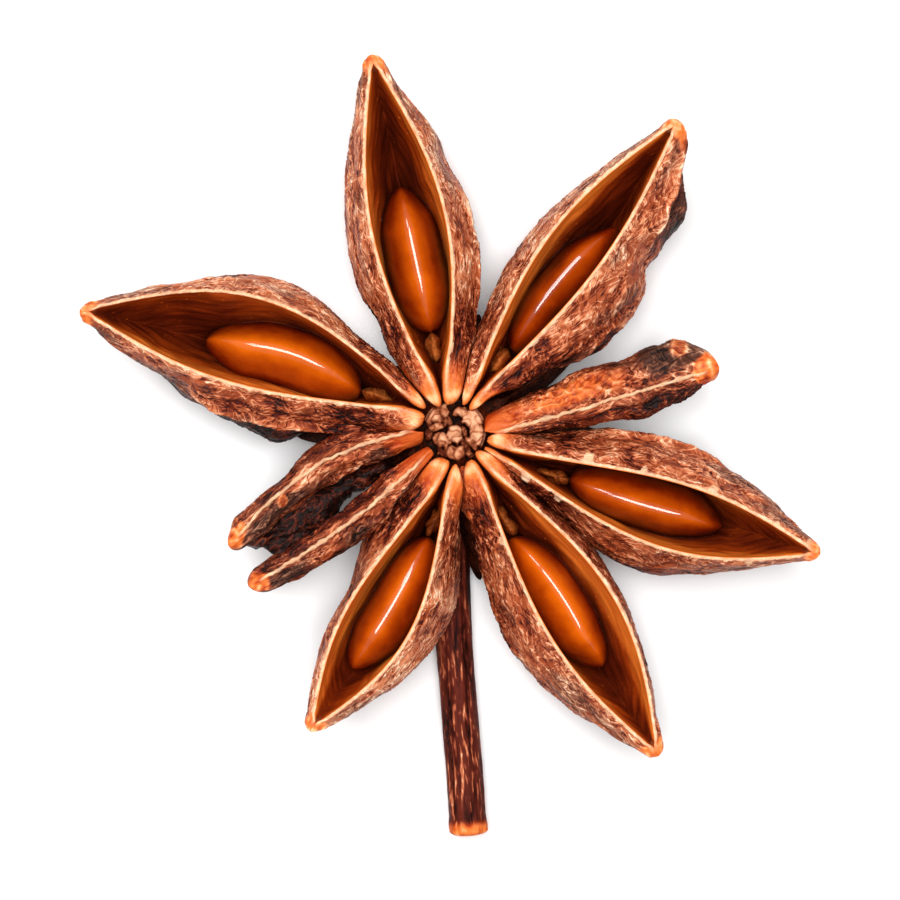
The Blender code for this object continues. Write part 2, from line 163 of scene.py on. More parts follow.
def turned(points, azimuth):
    # from (out, left, up) about the hub's axis to the pod's own x, y, z
    angle = radians(azimuth)
    x = points[..., 0] * cos(angle) - points[..., 1] * sin(angle) + hubPlace[0]
    y = points[..., 0] * sin(angle) + points[..., 1] * cos(angle) + hubPlace[1]
    return together(x, y, points[..., 2])


def gridFaces(rows, columns):
    # quads over a grid that closes round on itself
    index = np.arange(rows * columns).reshape(rows, columns)
    after = np.roll(index, -1, axis=1)
    return together(index[:-1], after[:-1], after[1:], index[1:]).reshape(-1, 4)


def makeMesh(name, grid, azimuth, colours, finish, folded=False):
    # a closed mesh over rings of points: quads between the rings, each end shut by a fan round its
    # middle; where the rings are folded into a U, a strip between the fold's two sides shuts the first
    rows, columns = grid.shape[:2]
    points = grid.reshape(-1, 3)
    values = {key: value.reshape(rows * columns, -1) for key, value in colours.items()}
    faces = gridFaces(rows, columns).tolist()
    for row in (0, rows - 1):
        ring = np.arange(row * columns, (row + 1) * columns)
        if folded and row == 0:
            back = ring[::-1]
            half = columns // 2
            cap = together(ring[: half - 1], ring[1:half], back[1:half], back[: half - 1])
        else:
            cap = together(ring, np.roll(ring, -1), len(points))
            points = np.concatenate([points, points[ring].mean(axis=0)[None]])
            values = {key: np.concatenate([value, value[ring[:1]]]) for key, value in values.items()}
        faces += (cap if row else cap[:, ::-1]).tolist()
    placed = turned(points, azimuth) * mm
    mesh = bpy.data.meshes.new(name)
    mesh.from_pydata(placed.tolist(), [], faces)
    for key, value in values.items():
        paint = mesh.attributes.new(key, "FLOAT_COLOR", "POINT")
        paint.data.foreach_set("color", np.pad(value, ((0, 0), (0, 1)), constant_values=1).ravel())
    mesh.update()
    mesh.calc_loop_triangles()
    corners = np.zeros(len(mesh.loop_triangles) * 3, int)
    mesh.loop_triangles.foreach_get("vertices", corners)
    a, b, c = np.moveaxis(placed[corners.reshape(-1, 3)], 1, 0)
    if np.sum(a * np.cross(b, c)) < 0:
        mesh.flip_normals()
    mesh.shade_smooth()
    mesh.materials.append(finish)
    piece = bpy.data.objects.new(name, mesh)
    bpy.context.scene.collection.objects.link(piece)
    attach(piece, "root")
    return piece


# Finishes: every one reads the layers that its pieces carry


def fill(tree, socket, value):
    # a socket is linked, a plain value is stored
    if isinstance(value, bpy.types.NodeSocket):
        tree.links.new(value, socket)
    else:
        socket.default_value = value


def fillInputs(tree, node, **inputs):
    # fills a node's inputs by name, spaces as underscores
    for key, value in inputs.items():
        fill(tree, node.inputs[key.replace("_", " ")], value)
    return node


def addNode(tree, kind, **inputs):
    # a new node of the kind with its inputs filled
    return fillInputs(tree, tree.nodes.new(kind), **inputs)


def mixed(tree, factor, first, second):
    # first + (second - first) * factor, in colours
    node = tree.nodes.new("ShaderNodeMix")
    node.data_type = "RGBA"
    for index, value in ((0, factor), (6, first), (7, second)):
        fill(tree, node.inputs[index], value)
    return node.outputs[2]


def ramp(tree, factor, stops):
    # straight blends between stops, each a place from 0 to 1 and a screen colour
    node = addNode(tree, "ShaderNodeValToRGB", Fac=factor)
    elements = node.color_ramp.elements
    while len(elements) < len(stops):
        elements.new(0.5)
    for element, (place, *colour) in zip(elements, stops):
        element.position = place
        element.color = srgb(*colour)
    return node.outputs["Color"]


def calc(tree, operation, result, *others):
    # a chain of Math nodes: the operation on the result so far and each other value in turn
    for other in others:
        node = tree.nodes.new("ShaderNodeMath")
        node.operation = operation
        fill(tree, node.inputs[0], result)
        fill(tree, node.inputs[1], other)
        result = node.outputs[0]
    return result


def aroundMiddle(tree, value, size):
    # (value - half) * size
    return calc(tree, "MULTIPLY", calc(tree, "SUBTRACT", value, 0.5), size)


def share(tree, value, low, high):
    # 0 below low, 1 above high and even between: (value - low) / (high - low)
    return addNode(tree, "ShaderNodeMapRange", Value=value, From_Min=low, From_Max=high).outputs["Result"]


def layer(tree, name):
    # a colour layer painted on the points of the mesh
    node = tree.nodes.new("ShaderNodeAttribute")
    node.attribute_name = name
    return node.outputs["Color"]


def channels(tree, name):
    # a layer's red, green and blue, each a value of its own
    return addNode(tree, "ShaderNodeSeparateColor", Color=layer(tree, name)).outputs[:3]


def noise(tree, place, scale, detail, roughness, stretch):
    # cloudy noise: scale counts features along one unit of the place, stretch multiplies the place first
    place = addNode(tree, "ShaderNodeMapping", Vector=place, Scale=stretch).outputs["Vector"]
    return addNode(tree, "ShaderNodeTexNoise", Vector=place, Scale=scale, Detail=detail,
                   Roughness=roughness).outputs["Fac"]


def objectNoise(tree, scale, detail, roughness, stretch=(1, 1, 1)):
    # noise on Object coordinates, scale in features along a metre
    place = addNode(tree, "ShaderNodeTexCoord").outputs["Object"]
    return noise(tree, place, scale, detail, roughness, stretch)


def surfaceNoise(tree, scale, detail, stretch):
    # noise on the place layer: millimetres along, millimetres down the flank, side
    return noise(tree, layer(tree, "place"), scale, detail, 0.6, stretch)


def thinLines(tree, lengths, turn, twist, width, patch):
    # crooked lines where a noise drawn out at an angle crosses its middle, 1 - |noise - half| / width,
    # kept in patches of the given size in millimetres
    place = layer(tree, "place")
    drawn = addNode(tree, "ShaderNodeMapping", Vector=place)
    drawn.vector_type = "TEXTURE"
    drawn.inputs["Rotation"].default_value = (0, 0, turn)
    drawn.inputs["Scale"].default_value = (*lengths, 1)
    wave = addNode(tree, "ShaderNodeTexNoise", Vector=drawn.outputs["Vector"], Scale=1.0, Detail=1.0,
                   Distortion=twist).outputs["Fac"]
    away = calc(tree, "ABSOLUTE", calc(tree, "SUBTRACT", wave, 0.5), 0.0)
    line = calc(tree, "MAXIMUM", calc(tree, "SUBTRACT", 1.0, calc(tree, "DIVIDE", away, width)), 0.0)
    cloud = addNode(tree, "ShaderNodeTexNoise", Vector=place, Scale=1 / patch, Detail=1.0).outputs["Fac"]
    return calc(tree, "MULTIPLY", line, share(tree, cloud, 0.44, 0.56))


def newFinish(name):
    # an empty finish with its node tree and its shader
    finish = bpy.data.materials.new(name)
    finish.use_nodes = True
    return finish, finish.node_tree, finish.node_tree.nodes["Principled BSDF"]


def addBump(tree, shader, height, strength, depth):
    # fine relief, depth in metres
    bump = addNode(tree, "ShaderNodeBump", Height=height, Strength=strength, Distance=depth)
    fillInputs(tree, shader, Normal=bump.outputs["Normal"])


# Ramps from dark to light: place, red, green, blue
skinTones = ((0.0, 22, 4, 2), (0.25, 92, 26, 10), (0.5, 166, 76, 40), (0.75, 226, 140, 96),
             (1.0, 255, 222, 186))
warmTones = ((0.0, 66, 11, 3), (0.35, 176, 60, 17), (0.7, 234, 124, 56), (1.0, 255, 210, 156))
greyTones = ((0.0, 18, 8, 5), (0.4, 84, 46, 33), (0.7, 150, 98, 74), (1.0, 240, 194, 160))
innerTones = ((0.0, 30, 7, 2), (0.3, 92, 27, 7), (0.6, 158, 60, 12), (1.0, 240, 128, 44))
rimTones = ((0.0, 218, 140, 90), (0.5, 250, 202, 158), (1.0, 255, 234, 208))
seedTones = ((0.0, 40, 4, 0), (0.35, 112, 27, 0), (0.7, 170, 66, 2), (1.0, 212, 96, 6))
hubTones = ((0.0, 16, 4, 1), (0.35, 84, 32, 15), (0.65, 164, 92, 58), (1.0, 232, 170, 130))
barkTones = ((0.0, 26, 6, 4), (0.4, 98, 36, 24), (0.7, 184, 100, 66), (1.0, 252, 194, 146))
stemTones = ((0.0, 26, 8, 2), (0.4, 88, 38, 12), (0.7, 170, 92, 38), (1.0, 240, 176, 108))

# How strongly each kind of mark shows in the skin and inside; satin and smooth are how much the inside and
# the warm ends lose of their matt and their bump
huskLook = dict(grain=0.14, streak=0.14, blotch=0.35, strokes=0.38, creases=0.36, warmCalm=0.85,
                innerMarks=0.5, innerSpeck=0.6, innerGrain=0.15, rimStreak=0.8, matt=0.46, mattGrain=0.3,
                satin=0.1, smooth=0.8, bump=0.6, bumpDepth=0.00012, specular=0.15)


def huskFinish(look):
    # dry skin coloured by its relief, with painted highlight and shade in it, orange and smooth near the hub,
    # satin inside, pale along the torn rim
    finish, tree, shader = newFinish("huskSkin")
    relief, grey, wallToneAndLight = channels(tree, "skin")
    rim, inner, warm = channels(tree, "zone")
    grain = objectNoise(tree, 5200, 5.0, 0.65)
    streak = surfaceNoise(tree, 1.8, 3.0, (0.3, 1.6, 1.0))
    blotch = objectNoise(tree, 450, 1.5, 0.5)
    # pale strokes both ways and round curls, partly painted highlight, and dark creases along, partly painted
    # shade
    strokes = calc(tree, "MAXIMUM", thinLines(tree, (1.3, 0.3), 0.3, 0.2, 0.06, 1.4),
                   thinLines(tree, (1.1, 0.34), -0.55, 0.4, 0.055, 1.2),
                   thinLines(tree, (0.75, 0.6), 0.0, 1.2, 0.035, 1.9))
    creases = calc(tree, "MAXIMUM", thinLines(tree, (2.0, 0.42), 0.12, 0.4, 0.045, 1.7),
                   thinLines(tree, (0.6, 0.45), 0.9, 0.8, 0.03, 1.0))
    marks = calc(tree, "SUBTRACT", calc(tree, "MULTIPLY", strokes, look["strokes"]),
                 calc(tree, "MULTIPLY", creases, look["creases"]))
    rough = calc(tree, "ADD", aroundMiddle(tree, grain, look["grain"]),
                 aroundMiddle(tree, streak, look["streak"]),
                 aroundMiddle(tree, blotch, look["blotch"]), marks)
    dry = calc(tree, "SUBTRACT", 1.0, calc(tree, "MULTIPLY", warm, look["warmCalm"]))
    height = calc(tree, "ADD", relief, calc(tree, "MULTIPLY", rough, dry))
    skin = mixed(tree, grey, ramp(tree, height, skinTones), ramp(tree, height, greyTones))
    skin = mixed(tree, warm, skin, ramp(tree, height, warmTones))
    speck = share(tree, surfaceNoise(tree, 3.4, 1.0, (1.0, 1.3, 1.0)), 0.72, 0.8)
    # the inside's tone, carrying the painted light and shade of its layer
    satin = calc(tree, "ADD", wallToneAndLight, aroundMiddle(tree, streak, look["innerMarks"]),
                 aroundMiddle(tree, blotch, look["innerMarks"]),
                 calc(tree, "MULTIPLY", speck, look["innerSpeck"]),
                 aroundMiddle(tree, grain, look["innerGrain"]))
    colour = mixed(tree, inner, skin, ramp(tree, satin, innerTones))
    pale = calc(tree, "ADD", grain, aroundMiddle(tree, streak, look["rimStreak"]))
    colour = mixed(tree, rim, colour, ramp(tree, pale, rimTones))
    smooth = calc(tree, "MAXIMUM", inner, warm)
    matt = calc(tree, "SUBTRACT", look["matt"], calc(tree, "MULTIPLY", smooth, look["satin"]))
    matt = calc(tree, "ADD", matt, aroundMiddle(tree, grain, look["mattGrain"]))
    fillInputs(tree, shader, Base_Color=colour, Roughness=matt, Specular_IOR_Level=look["specular"])
    strength = calc(tree, "SUBTRACT", 1.0, calc(tree, "MULTIPLY", smooth, look["smooth"]))
    addBump(tree, shader, calc(tree, "ADD", grain, streak, marks),
            calc(tree, "MULTIPLY", strength, look["bump"]), look["bumpDepth"])
    return finish


seedLook = dict(mottle=0.6, cloud=0.45, matt=0.3, specular=0.15, coatMatt=0.05, coatBend=1.7, bump=0.12,
                bumpDepth=0.0001)


def seedFinish(look):
    # polished seed coat: orange-brown along the top, dark red-brown at the edges, faint mottling
    finish, tree, shader = newFinish("seedCoat")
    level, shade, _ = channels(tree, "skin")
    mottle = objectNoise(tree, 800, 4.0, 0.6)
    warmth = calc(tree, "ADD", level, aroundMiddle(tree, mottle, look["mottle"]),
                  aroundMiddle(tree, objectNoise(tree, 260, 2.0, 0.5), look["cloud"]))
    colour = ramp(tree, calc(tree, "SUBTRACT", warmth, shade), seedTones)
    fillInputs(tree, shader, Base_Color=colour, Roughness=look["matt"], Specular_IOR_Level=look["specular"],
               Coat_Weight=share(tree, level, 0.15, 0.45), Coat_Roughness=look["coatMatt"],
               Coat_IOR=look["coatBend"])
    addBump(tree, shader, mottle, look["bump"], look["bumpDepth"])
    return finish


def woodFinish(name, tones, scale, stretch, matt, depth):
    # dry wood coloured by relief and by noise drawn out along the grain
    finish, tree, shader = newFinish(name)
    relief, _, warm = channels(tree, "skin")
    grain = objectNoise(tree, scale, 5.0, 0.6, stretch)
    height = calc(tree, "ADD", relief, aroundMiddle(tree, grain, 0.6))
    colour = mixed(tree, warm, ramp(tree, height, tones), ramp(tree, height, warmTones))
    fillInputs(tree, shader, Base_Color=colour, Roughness=matt, Specular_IOR_Level=0.04)
    addBump(tree, shader, grain, 0.6, depth)
    return finish


huskSkin = huskFinish(huskLook)
seedCoat = seedFinish(seedLook)
hubWood = woodFinish("hubWood", hubTones, 6000, (1, 1, 1), 0.6, 0.00008)
stalkBark = woodFinish("stalkBark", barkTones, 3000, (1, 0.12, 1), 0.55, 0.0001)
stemFibre = woodFinish("stemFibre", stemTones, 5000, (1, 1, 0.4), 0.4, 0.0001)
print("finishes made")

# The open carpels. What they share: lengths and heights in millimetres, and the points of the grid
husk = dict(root=1.4, nose=1.45, lipHeight=6.5, beakHeight=7.2, edgeSag=0.25, hubDepth=4.3, slit=0.05,
            rimWidth=0.22, rimRound=0.08, lipRound=0.1, rootWidth=0.85, beakRadius=0.4, keelWall=1.0,
            noseRound=0.65, wedgeGap=0.02, rows=300, rimPoints=8, upperPoints=46, lowerPoints=20)

# The same driving sizes as the solids: azimuth and reach, offsets to the left, half widths and depth.
# swells: side, place, size, rise; pairs such as the inner walls' painted light and dim are left, right; tone
# and dim shift the skin
openCarpels = {
    "a": dict(azimuth=162, reach=19.35, root=-0.4, tip=0.05, bow=-0.9, lean=0.46, mouth=2.1, mouthPeak=0.55,
              belly=3.05, bellyPeak=0.51, depth=7.1, hover=0.0, nose=1.6, openPower=1.25, tone=-0.04,
              lips=(0, 0.1), wallLight=(1, 0.45), dim=(-0.12, 0.06),
              swells=((1, 8.3, 1.7, 0.75), (1, 12.0, 2.0, 0.2), (1, 14.4, 1.6, -0.45), (-1, 12.0, 2.5, 0.25),
                      (-1, 6.0, 1.3, -0.4)),
              ledges=(dict(side=1, start=3.5, end=13.5, down=2.0, rise=0.26),
                      dict(side=-1, start=12.0, end=18.5, down=1.5, rise=0.1))),
    "b": dict(azimuth=102, reach=18.95, root=0.25, tip=0.15, bow=-0.12, lean=0.06, mouth=1.76, mouthPeak=0.52,
              belly=2.5, bellyPeak=0.47, depth=6.8, hover=0.2, nose=1.32, openPower=1.2,
              swells=((1, 6.5, 1.2, -0.3), (1, 15.0, 2.5, 0.12), (-1, 14.8, 1.0, 0.3), (-1, 9.5, 2.5, 0.2)),
              ledges=(dict(side=-1, start=3.0, end=12.0, down=2.4, rise=0.12),)),
    "c": dict(azimuth=54, reach=18.85, root=0.2, tip=0.05, bow=0.31, lean=-1.0, mouth=1.33, mouthPeak=0.54,
              belly=2.6, bellyPeak=0.48, depth=7.0, hover=0.0, nose=1.3, openPower=1.15, curl=1.0,
              spread=(0, -9), wallLight=(1.9, 0.8), dim=(0.03, -0.08),
              swells=((-1, 15.6, 1.8, 1.3), (-1, 12.3, 1.0, -0.5), (-1, 6.0, 1.8, 0.4), (-1, 17.8, 0.9, 0.3),
                      (1, 12.0, 4.0, 0.12)),
              ledges=(dict(side=-1, start=12.8, end=18.4, down=2.1, slope=-0.22, rise=0.3, dark=0.24),
                      dict(side=-1, start=4.0, end=9.5, down=3.2, rise=0.15))),
    "d": dict(azimuth=-18, reach=19.0, root=-0.15, tip=-0.2, bow=-0.49, lean=0.52, mouth=1.56, mouthPeak=0.59,
              belly=2.47, bellyPeak=0.55, depth=7.0, hover=0.0, nose=1.7, openPower=1.1, curl=0.3, tone=-0.04,
              peel=0.5, spread=(0, -6), wallLight=(0.8, 1.25), dim=(0, -0.08),
              swells=((-1, 10.5, 3.5, 0.58), (1, 9.0, 4.0, 0.12), (1, 13.5, 1.2, -0.15)),
              ledges=(dict(side=1, start=4.0, end=14.0, down=2.9, rise=0.2),)),
    "e": dict(azimuth=-58, reach=18.9, root=0.15, tip=0.05, bow=0.39, lean=-0.8, mouth=1.75, mouthPeak=0.56,
              belly=2.44, bellyPeak=0.53, depth=6.9, hover=0.15, nose=1.45, openPower=1.2, peel=0.25,
              curl=1.0, tone=-0.05, lips=(0, 0.2), spread=(7, -7), wallLight=(2.1, 0.9), dim=(-0.1, 0),
              swells=((1, 8.0, 2.0, 0.15), (-1, 7.5, 1.2, -0.2), (-1, 16.0, 1.5, 0.08))),
    "f": dict(azimuth=-116, reach=16.4, root=0.6, tip=0.1, bow=0.45, lean=0.45, mouth=1.56, mouthPeak=0.59,
              belly=2.08, bellyPeak=0.56, depth=7.0, hover=0.0, nose=1.45, openPower=1.2, spread=(7, 0),
              wallLight=(0.9, 1.9), dim=(0.08, -0.14), swells=((-1, 7.4, 2.4, -0.58),)),
}
seeds = {
    "a": dict(start=5.0, length=8.15, sideIn=-0.5, sideOut=-0.3, bulge=-0.75, halfWidth=1.52, hook=-0.35),
    "b": dict(start=5.05, length=7.4, sideIn=0.1, sideOut=0.1, bulge=0.0, halfWidth=1.5, shade=0.16),
    "c": dict(start=4.9, length=8.05, sideIn=0.2, sideOut=-0.3, bulge=0.25, halfWidth=1.42, shade=0.36),
    "d": dict(start=6.2, length=7.95, sideIn=-0.6, sideOut=-0.3, bulge=-0.15, halfWidth=1.45, shade=0.2,
              hook=-0.25),
    "e": dict(start=6.0, length=7.85, sideIn=-0.2, sideOut=-0.1, bulge=0.35, halfWidth=1.4, hook=0.4),
    "f": dict(start=5.3, length=7.55, sideIn=1.1, sideOut=0.55, bulge=0.2, halfWidth=1.35, low=2.9,
              shade=0.12),
}
# rings: place, side, size; bumps: side, place, size, rise
shutCarpels = {
    "g": dict(azimuth=13.5, reach=13.5, root=-0.6, tip=0.0, bow=-0.05, lean=0.5, belly=0.95, bellyPeak=0.68,
              depth=3.8, top=6.1, blunt=0.5, curl=1.0, curls=0.7, tone=-0.06, noseWidth=0.85, tipSize=0.7,
              spread=(9, 0), shadeBelow=0.9, rings=((11.8, 1.5, 0.36),),
              bumps=((1, 11.8, 0.8, 0.2), (1, 8.8, 1.4, -0.3), (-1, 9.4, 0.8, 0.2), (-1, 12.4, 0.8, -0.35))),
    "h": dict(azimuth=-143, reach=12.75, root=0.1, tip=0.05, bow=0.42, lean=0.25, belly=0.36, bellyPeak=0.5,
              depth=3.3, top=6.3, blunt=0.8, curl=0.2, tone=-0.1, tipSize=0.4, shadeBelow=0.7,
              bumps=((1, 9.9, 2.0, -0.22), (1, 7.2, 1.5, -0.22))),
    "i": dict(azimuth=-160, reach=12.45, root=-0.6, tip=1.5, bow=-1.15, lean=0.1, belly=0.36, bellyPeak=0.5,
              depth=3.4, top=6.0, blunt=0.8, curl=0.3, tone=-0.1, tipSize=0.4, shadeBelow=0.3,
              rings=((9.15, 0.4, 0.24),), bumps=((-1, 9.0, 1.8, -0.32), (-1, 5.5, 1.0, 0.15))),
}
azimuths = sorted(spec["azimuth"] for spec in (*openCarpels.values(), *shutCarpels.values()))


def wedge(spec, x):
    # how far the carpel may reach to the left and right at each place, x * tan(half the angle to the next
    # carpel) less a gap; near the hub the carpel's own spread is added to the half angle
    place = azimuths.index(spec["azimuth"])
    left = (azimuths[(place + 1) % len(azimuths)] - spec["azimuth"]) % 360
    right = (spec["azimuth"] - azimuths[place - 1]) % 360
    atNose = 1 - smoothStep(2.0, 4.0, x)
    spread = spec.get("spread", (0, 0))
    halves = (min(turn, 90) / 2 + more * atNose for turn, more in zip((left, right), spread))
    return [x * np.tan(np.radians(half)) - husk["wedgeGap"] for half in halves]


def underLimit(value, limit, soft=0.12):
    # the smaller of the two, rounded where they meet: (sum - sqrt(difference^2 + soft^2)) / 2
    return 0.5 * (value + limit - np.sqrt((limit - value) ** 2 + soft**2))


def ridges(value, sharp):
    # thin crests where the noise crosses zero: (1 - |value| * sharp) squared, never below 0
    return np.clip(1 - np.abs(value) * sharp, 0, 1) ** 2


# How high each kind of wrinkle stands in millimetres, and how much lighter it is: raised ones lighter, partly
# their own colour and partly painted highlight, creases and pits darker, partly painted shade
wrinkleRise = dict(folds=0.09, strokes=0.02, net=0.03, creases=-0.06, pits=-0.01, grain=0.006)
wrinkleTone = dict(folds=0.14, strokes=0.18, net=0.24, creases=-0.22, pits=-0.1, grain=0.04)


def skinRelief(x, down, seed, curl=0.5):
    # wrinkled skin over (along, down the flank): the sum of long folds, short strokes, curls round small
    # cells, dark creases, pits and grain, all bent by slow noise; curl 0 is straight strokes, 1 round curls
    slowX = 0.5 * softNoise(x / 1.1, down / 0.9, 0, seed + 1)
    u = x + (slowX + 0.2 * softNoise(x / 0.4, down / 0.35, 0, seed + 11))
    slowDown = 0.4 * softNoise(x, down / 0.8, 5, seed + 2)
    v = down + (slowDown + 0.16 * softNoise(x / 0.4, down / 0.3, 5, seed + 12))
    slant = v + 0.3 * u
    folds = ridges(softNoise(u / 4.0, v / 0.85, 0, seed + 3), 2.2)
    strokes = ridges(softNoise(u / 1.1, slant / 0.3, 0, seed + 13), 3.6)
    strokes = strokes * smoothStep(0.0, 0.4, softNoise(u / 1.2, v / 0.8, 4, seed + 18))
    net = (1 - np.clip(cellGap(u / 0.8, v / 0.6, seed + 4) / 0.22, 0, 1)) ** 1.5
    net = net * smoothStep(-0.1, 0.35, softNoise(x / 1.8, down / 1.2, 8, seed + 14)) * curl
    creases = ridges(softNoise(u / 3.0, slant / 0.7, 7, seed + 19), 4.5)
    pits = smoothStep(0.35, 0.62, softNoise(u / 0.4, v / 0.16, 3, seed + 15))
    grain = softNoise(x / 0.2, down / 0.13, 0, seed + 5)
    kinds = dict(folds=folds, strokes=strokes, net=net, creases=creases, pits=pits, grain=grain)
    height = sum(wrinkleRise[kind] * value for kind, value in kinds.items()) - 0.02
    # the tone: lighter on raised wrinkles and darker in creases, partly painted highlight and painted shade
    tone = sum(wrinkleTone[kind] * value for kind, value in kinds.items()) + 0.48
    return height, tone


def carpelLines(spec, x):
    # middle lines, levels and half widths of an open carpel at each place x, by the solids' own formulas:
    # each is even from root to tip plus a hump or a sine between, the ends rounded by tipRound
    reach = spec["reach"]
    t = (x - husk["root"]) / (reach - husk["root"])
    tipRound = roundEnd(x, husk["root"] - 1, reach, 0.5, husk["beakRadius"])
    middle = bowed(t, spec["root"], spec["tip"], spec["bow"])
    lean = spec["lean"] * np.sin(pi * t)
    gape = hump((x - husk["root"]) / (reach - 0.3 - husk["root"]), spec["mouthPeak"], 1.05)
    halfMouth = husk["slit"] * (1 - t) + spec["mouth"] * gape
    belly = hump(t, spec["bellyPeak"], 1.2)
    halfWidth = (husk["rootWidth"] * (1 - t) + husk["beakRadius"] * t + spec["belly"] * belly) * tipRound
    edge = bowed(t, husk["lipHeight"], husk["beakHeight"], -husk["edgeSag"])
    fall = spec["depth"] * hump((x + 4) / (reach + 4), 0.62, 0.85)
    least = 0.6 * husk["hubDepth"] * (1 - t) ** 3 + 2 * husk["beakRadius"] * t
    keel = np.maximum(edge - np.maximum(fall, least) * np.maximum(tipRound, 0.2), spec["hover"])
    return dict(t=t, middle=middle, waistMiddle=middle + lean, keelMiddle=middle + 1.25 * lean,
                tipRound=tipRound, halfMouth=halfMouth, halfWidth=halfWidth, edge=edge, keel=keel)


def seedFlank(key, x):
    # the seed's middle line, its half width, fullest * sin(pi * (0.12 + 0.76 * t))^0.7, and 0 to 1 where
    # there is a seed
    spec = seeds[key]
    t = (x - spec["start"]) / spec["length"]
    inside = np.clip(t, 0.001, 0.999)
    body = np.sin(pi * (0.12 + 0.76 * inside)) ** 0.7
    ridge = bowed(inside, spec["sideIn"], spec["sideOut"], spec["bulge"])
    return ridge, spec["halfWidth"] * body, smoothStep(-0.3, 0.1, t) * (1 - smoothStep(0.85, 1.4, t))


def carpelSide(spec, x, line, side, wedgeSide, hollow, ragged):
    # one flank as two chains of points from the rim's crest: outwards a quarter circle, then the way to the
    # waist by (1 - level^2)^fullness and an ellipse from the waist to the keel; inwards a quarter circle,
    # then half the mouth * (1 - depth^power) down to the floor. Rims are rounder at the lips inside and
    # flatter there outside; near the hub the flank stays inside its wedge, but for the crest
    theta = np.linspace(0, pi / 2, husk["rimPoints"])[None, :]
    upper = 1 - np.linspace(0, 1, husk["upperPoints"] + 1)[None, 1:] ** 1.5
    lower = np.linspace(0, pi / 2, husk["lowerPoints"] + 1)[None, 1:]
    depthShare = np.linspace(0, 1, husk["upperPoints"] + husk["lowerPoints"] + 1)[None, 1:] ** 1.25
    atHub = 1 - smoothStep(2.2, 5.0, x)
    edge = line["crest"]
    width = np.maximum(line["halfTop"] - line["mouth"] + ragged * smoothStep(0, 0.12, line["t"]), 0.03)
    innerRound = (husk["rimRound"] + husk["lipRound"] * atHub) * line["gapes"]
    outerRound = husk["rimRound"] * (1 - 0.7 * atHub) * line["gapes"]
    topY = line["middle"] + side * (line["mouth"] + width)
    topZ = edge - outerRound
    wallTopZ = edge - innerRound
    halfWaist = np.maximum(line["halfWidth"], 0.9 * line["halfTop"])
    for swellSide, place, size, rise in spec["swells"]:
        halfWaist = halfWaist + (swellSide == side) * rise * bell(x, place, size)
    # near the hub the flank fills its own wedge, up to its neighbour
    filled = np.maximum(wedgeSide + 0.3 - side * line["waistMiddle"], halfWaist)
    halfWaist = halfWaist + (filled - halfWaist) * (1 - smoothStep(1.4, 2.4, wedgeSide))
    waistY = line["waistMiddle"] + side * halfWaist
    waist = line["keel"] + 0.5 * (topZ - line["keel"])
    flankY = topY + (waistY - topY) * (1 - upper**2) ** (1 - 0.68 * atHub)
    flankZ = waist + (topZ - waist) * upper
    keelY = line["keelMiddle"] + (waistY - line["keelMiddle"]) * np.cos(lower) ** 0.9
    keelZ = waist - (waist - line["keel"]) * np.sin(lower)
    outerY = np.concatenate([line["middle"] + side * (line["mouth"] + width * (0.5 + 0.5 * np.sin(theta))),
                             flankY, keelY], axis=1)
    outerZ = np.concatenate([edge - outerRound * (1 - np.cos(theta)), flankZ, keelZ], axis=1)
    held = side * underLimit(side * outerY, wedgeSide)
    fromCrest = np.concatenate([np.sin(theta), np.ones_like(upper), np.ones_like(lower)], axis=1)
    outerY = outerY + (held - outerY) * fromCrest * (1 - smoothStep(5.0, 8.0, x))
    # the inside, down to the floor; the power is the one with which the wall just clears the seed
    shift = line["floorShift"]
    reachIn = (side * (hollow["ridge"] - line["middle"] - shift) + hollow["half"] + 0.12) / np.maximum(
        line["mouth"] - side * shift, 0.1)
    power = np.clip(np.log(1 - np.clip(reachIn, 0.02, 0.98)) / np.log(hollow["depth"]), 0.6, 4.5)
    free = 0.6 + (spec["openPower"] - 0.6) * smoothStep(2.0, 6.0, x)
    power = free + (power - free) * hollow["here"]
    innerY = line["middle"] + side * (line["mouth"] + width * (0.5 - 0.5 * np.sin(theta)))
    wallY = line["middle"] + shift * depthShare + side * line["mouth"] * (1 - depthShare**power)
    wallZ = wallTopZ - (wallTopZ - line["floor"]) * depthShare
    innerZ = np.concatenate([edge - innerRound * (1 - np.cos(theta)), wallZ], axis=1)
    return outerY, outerZ, np.concatenate([innerY, wallY], axis=1), innerZ


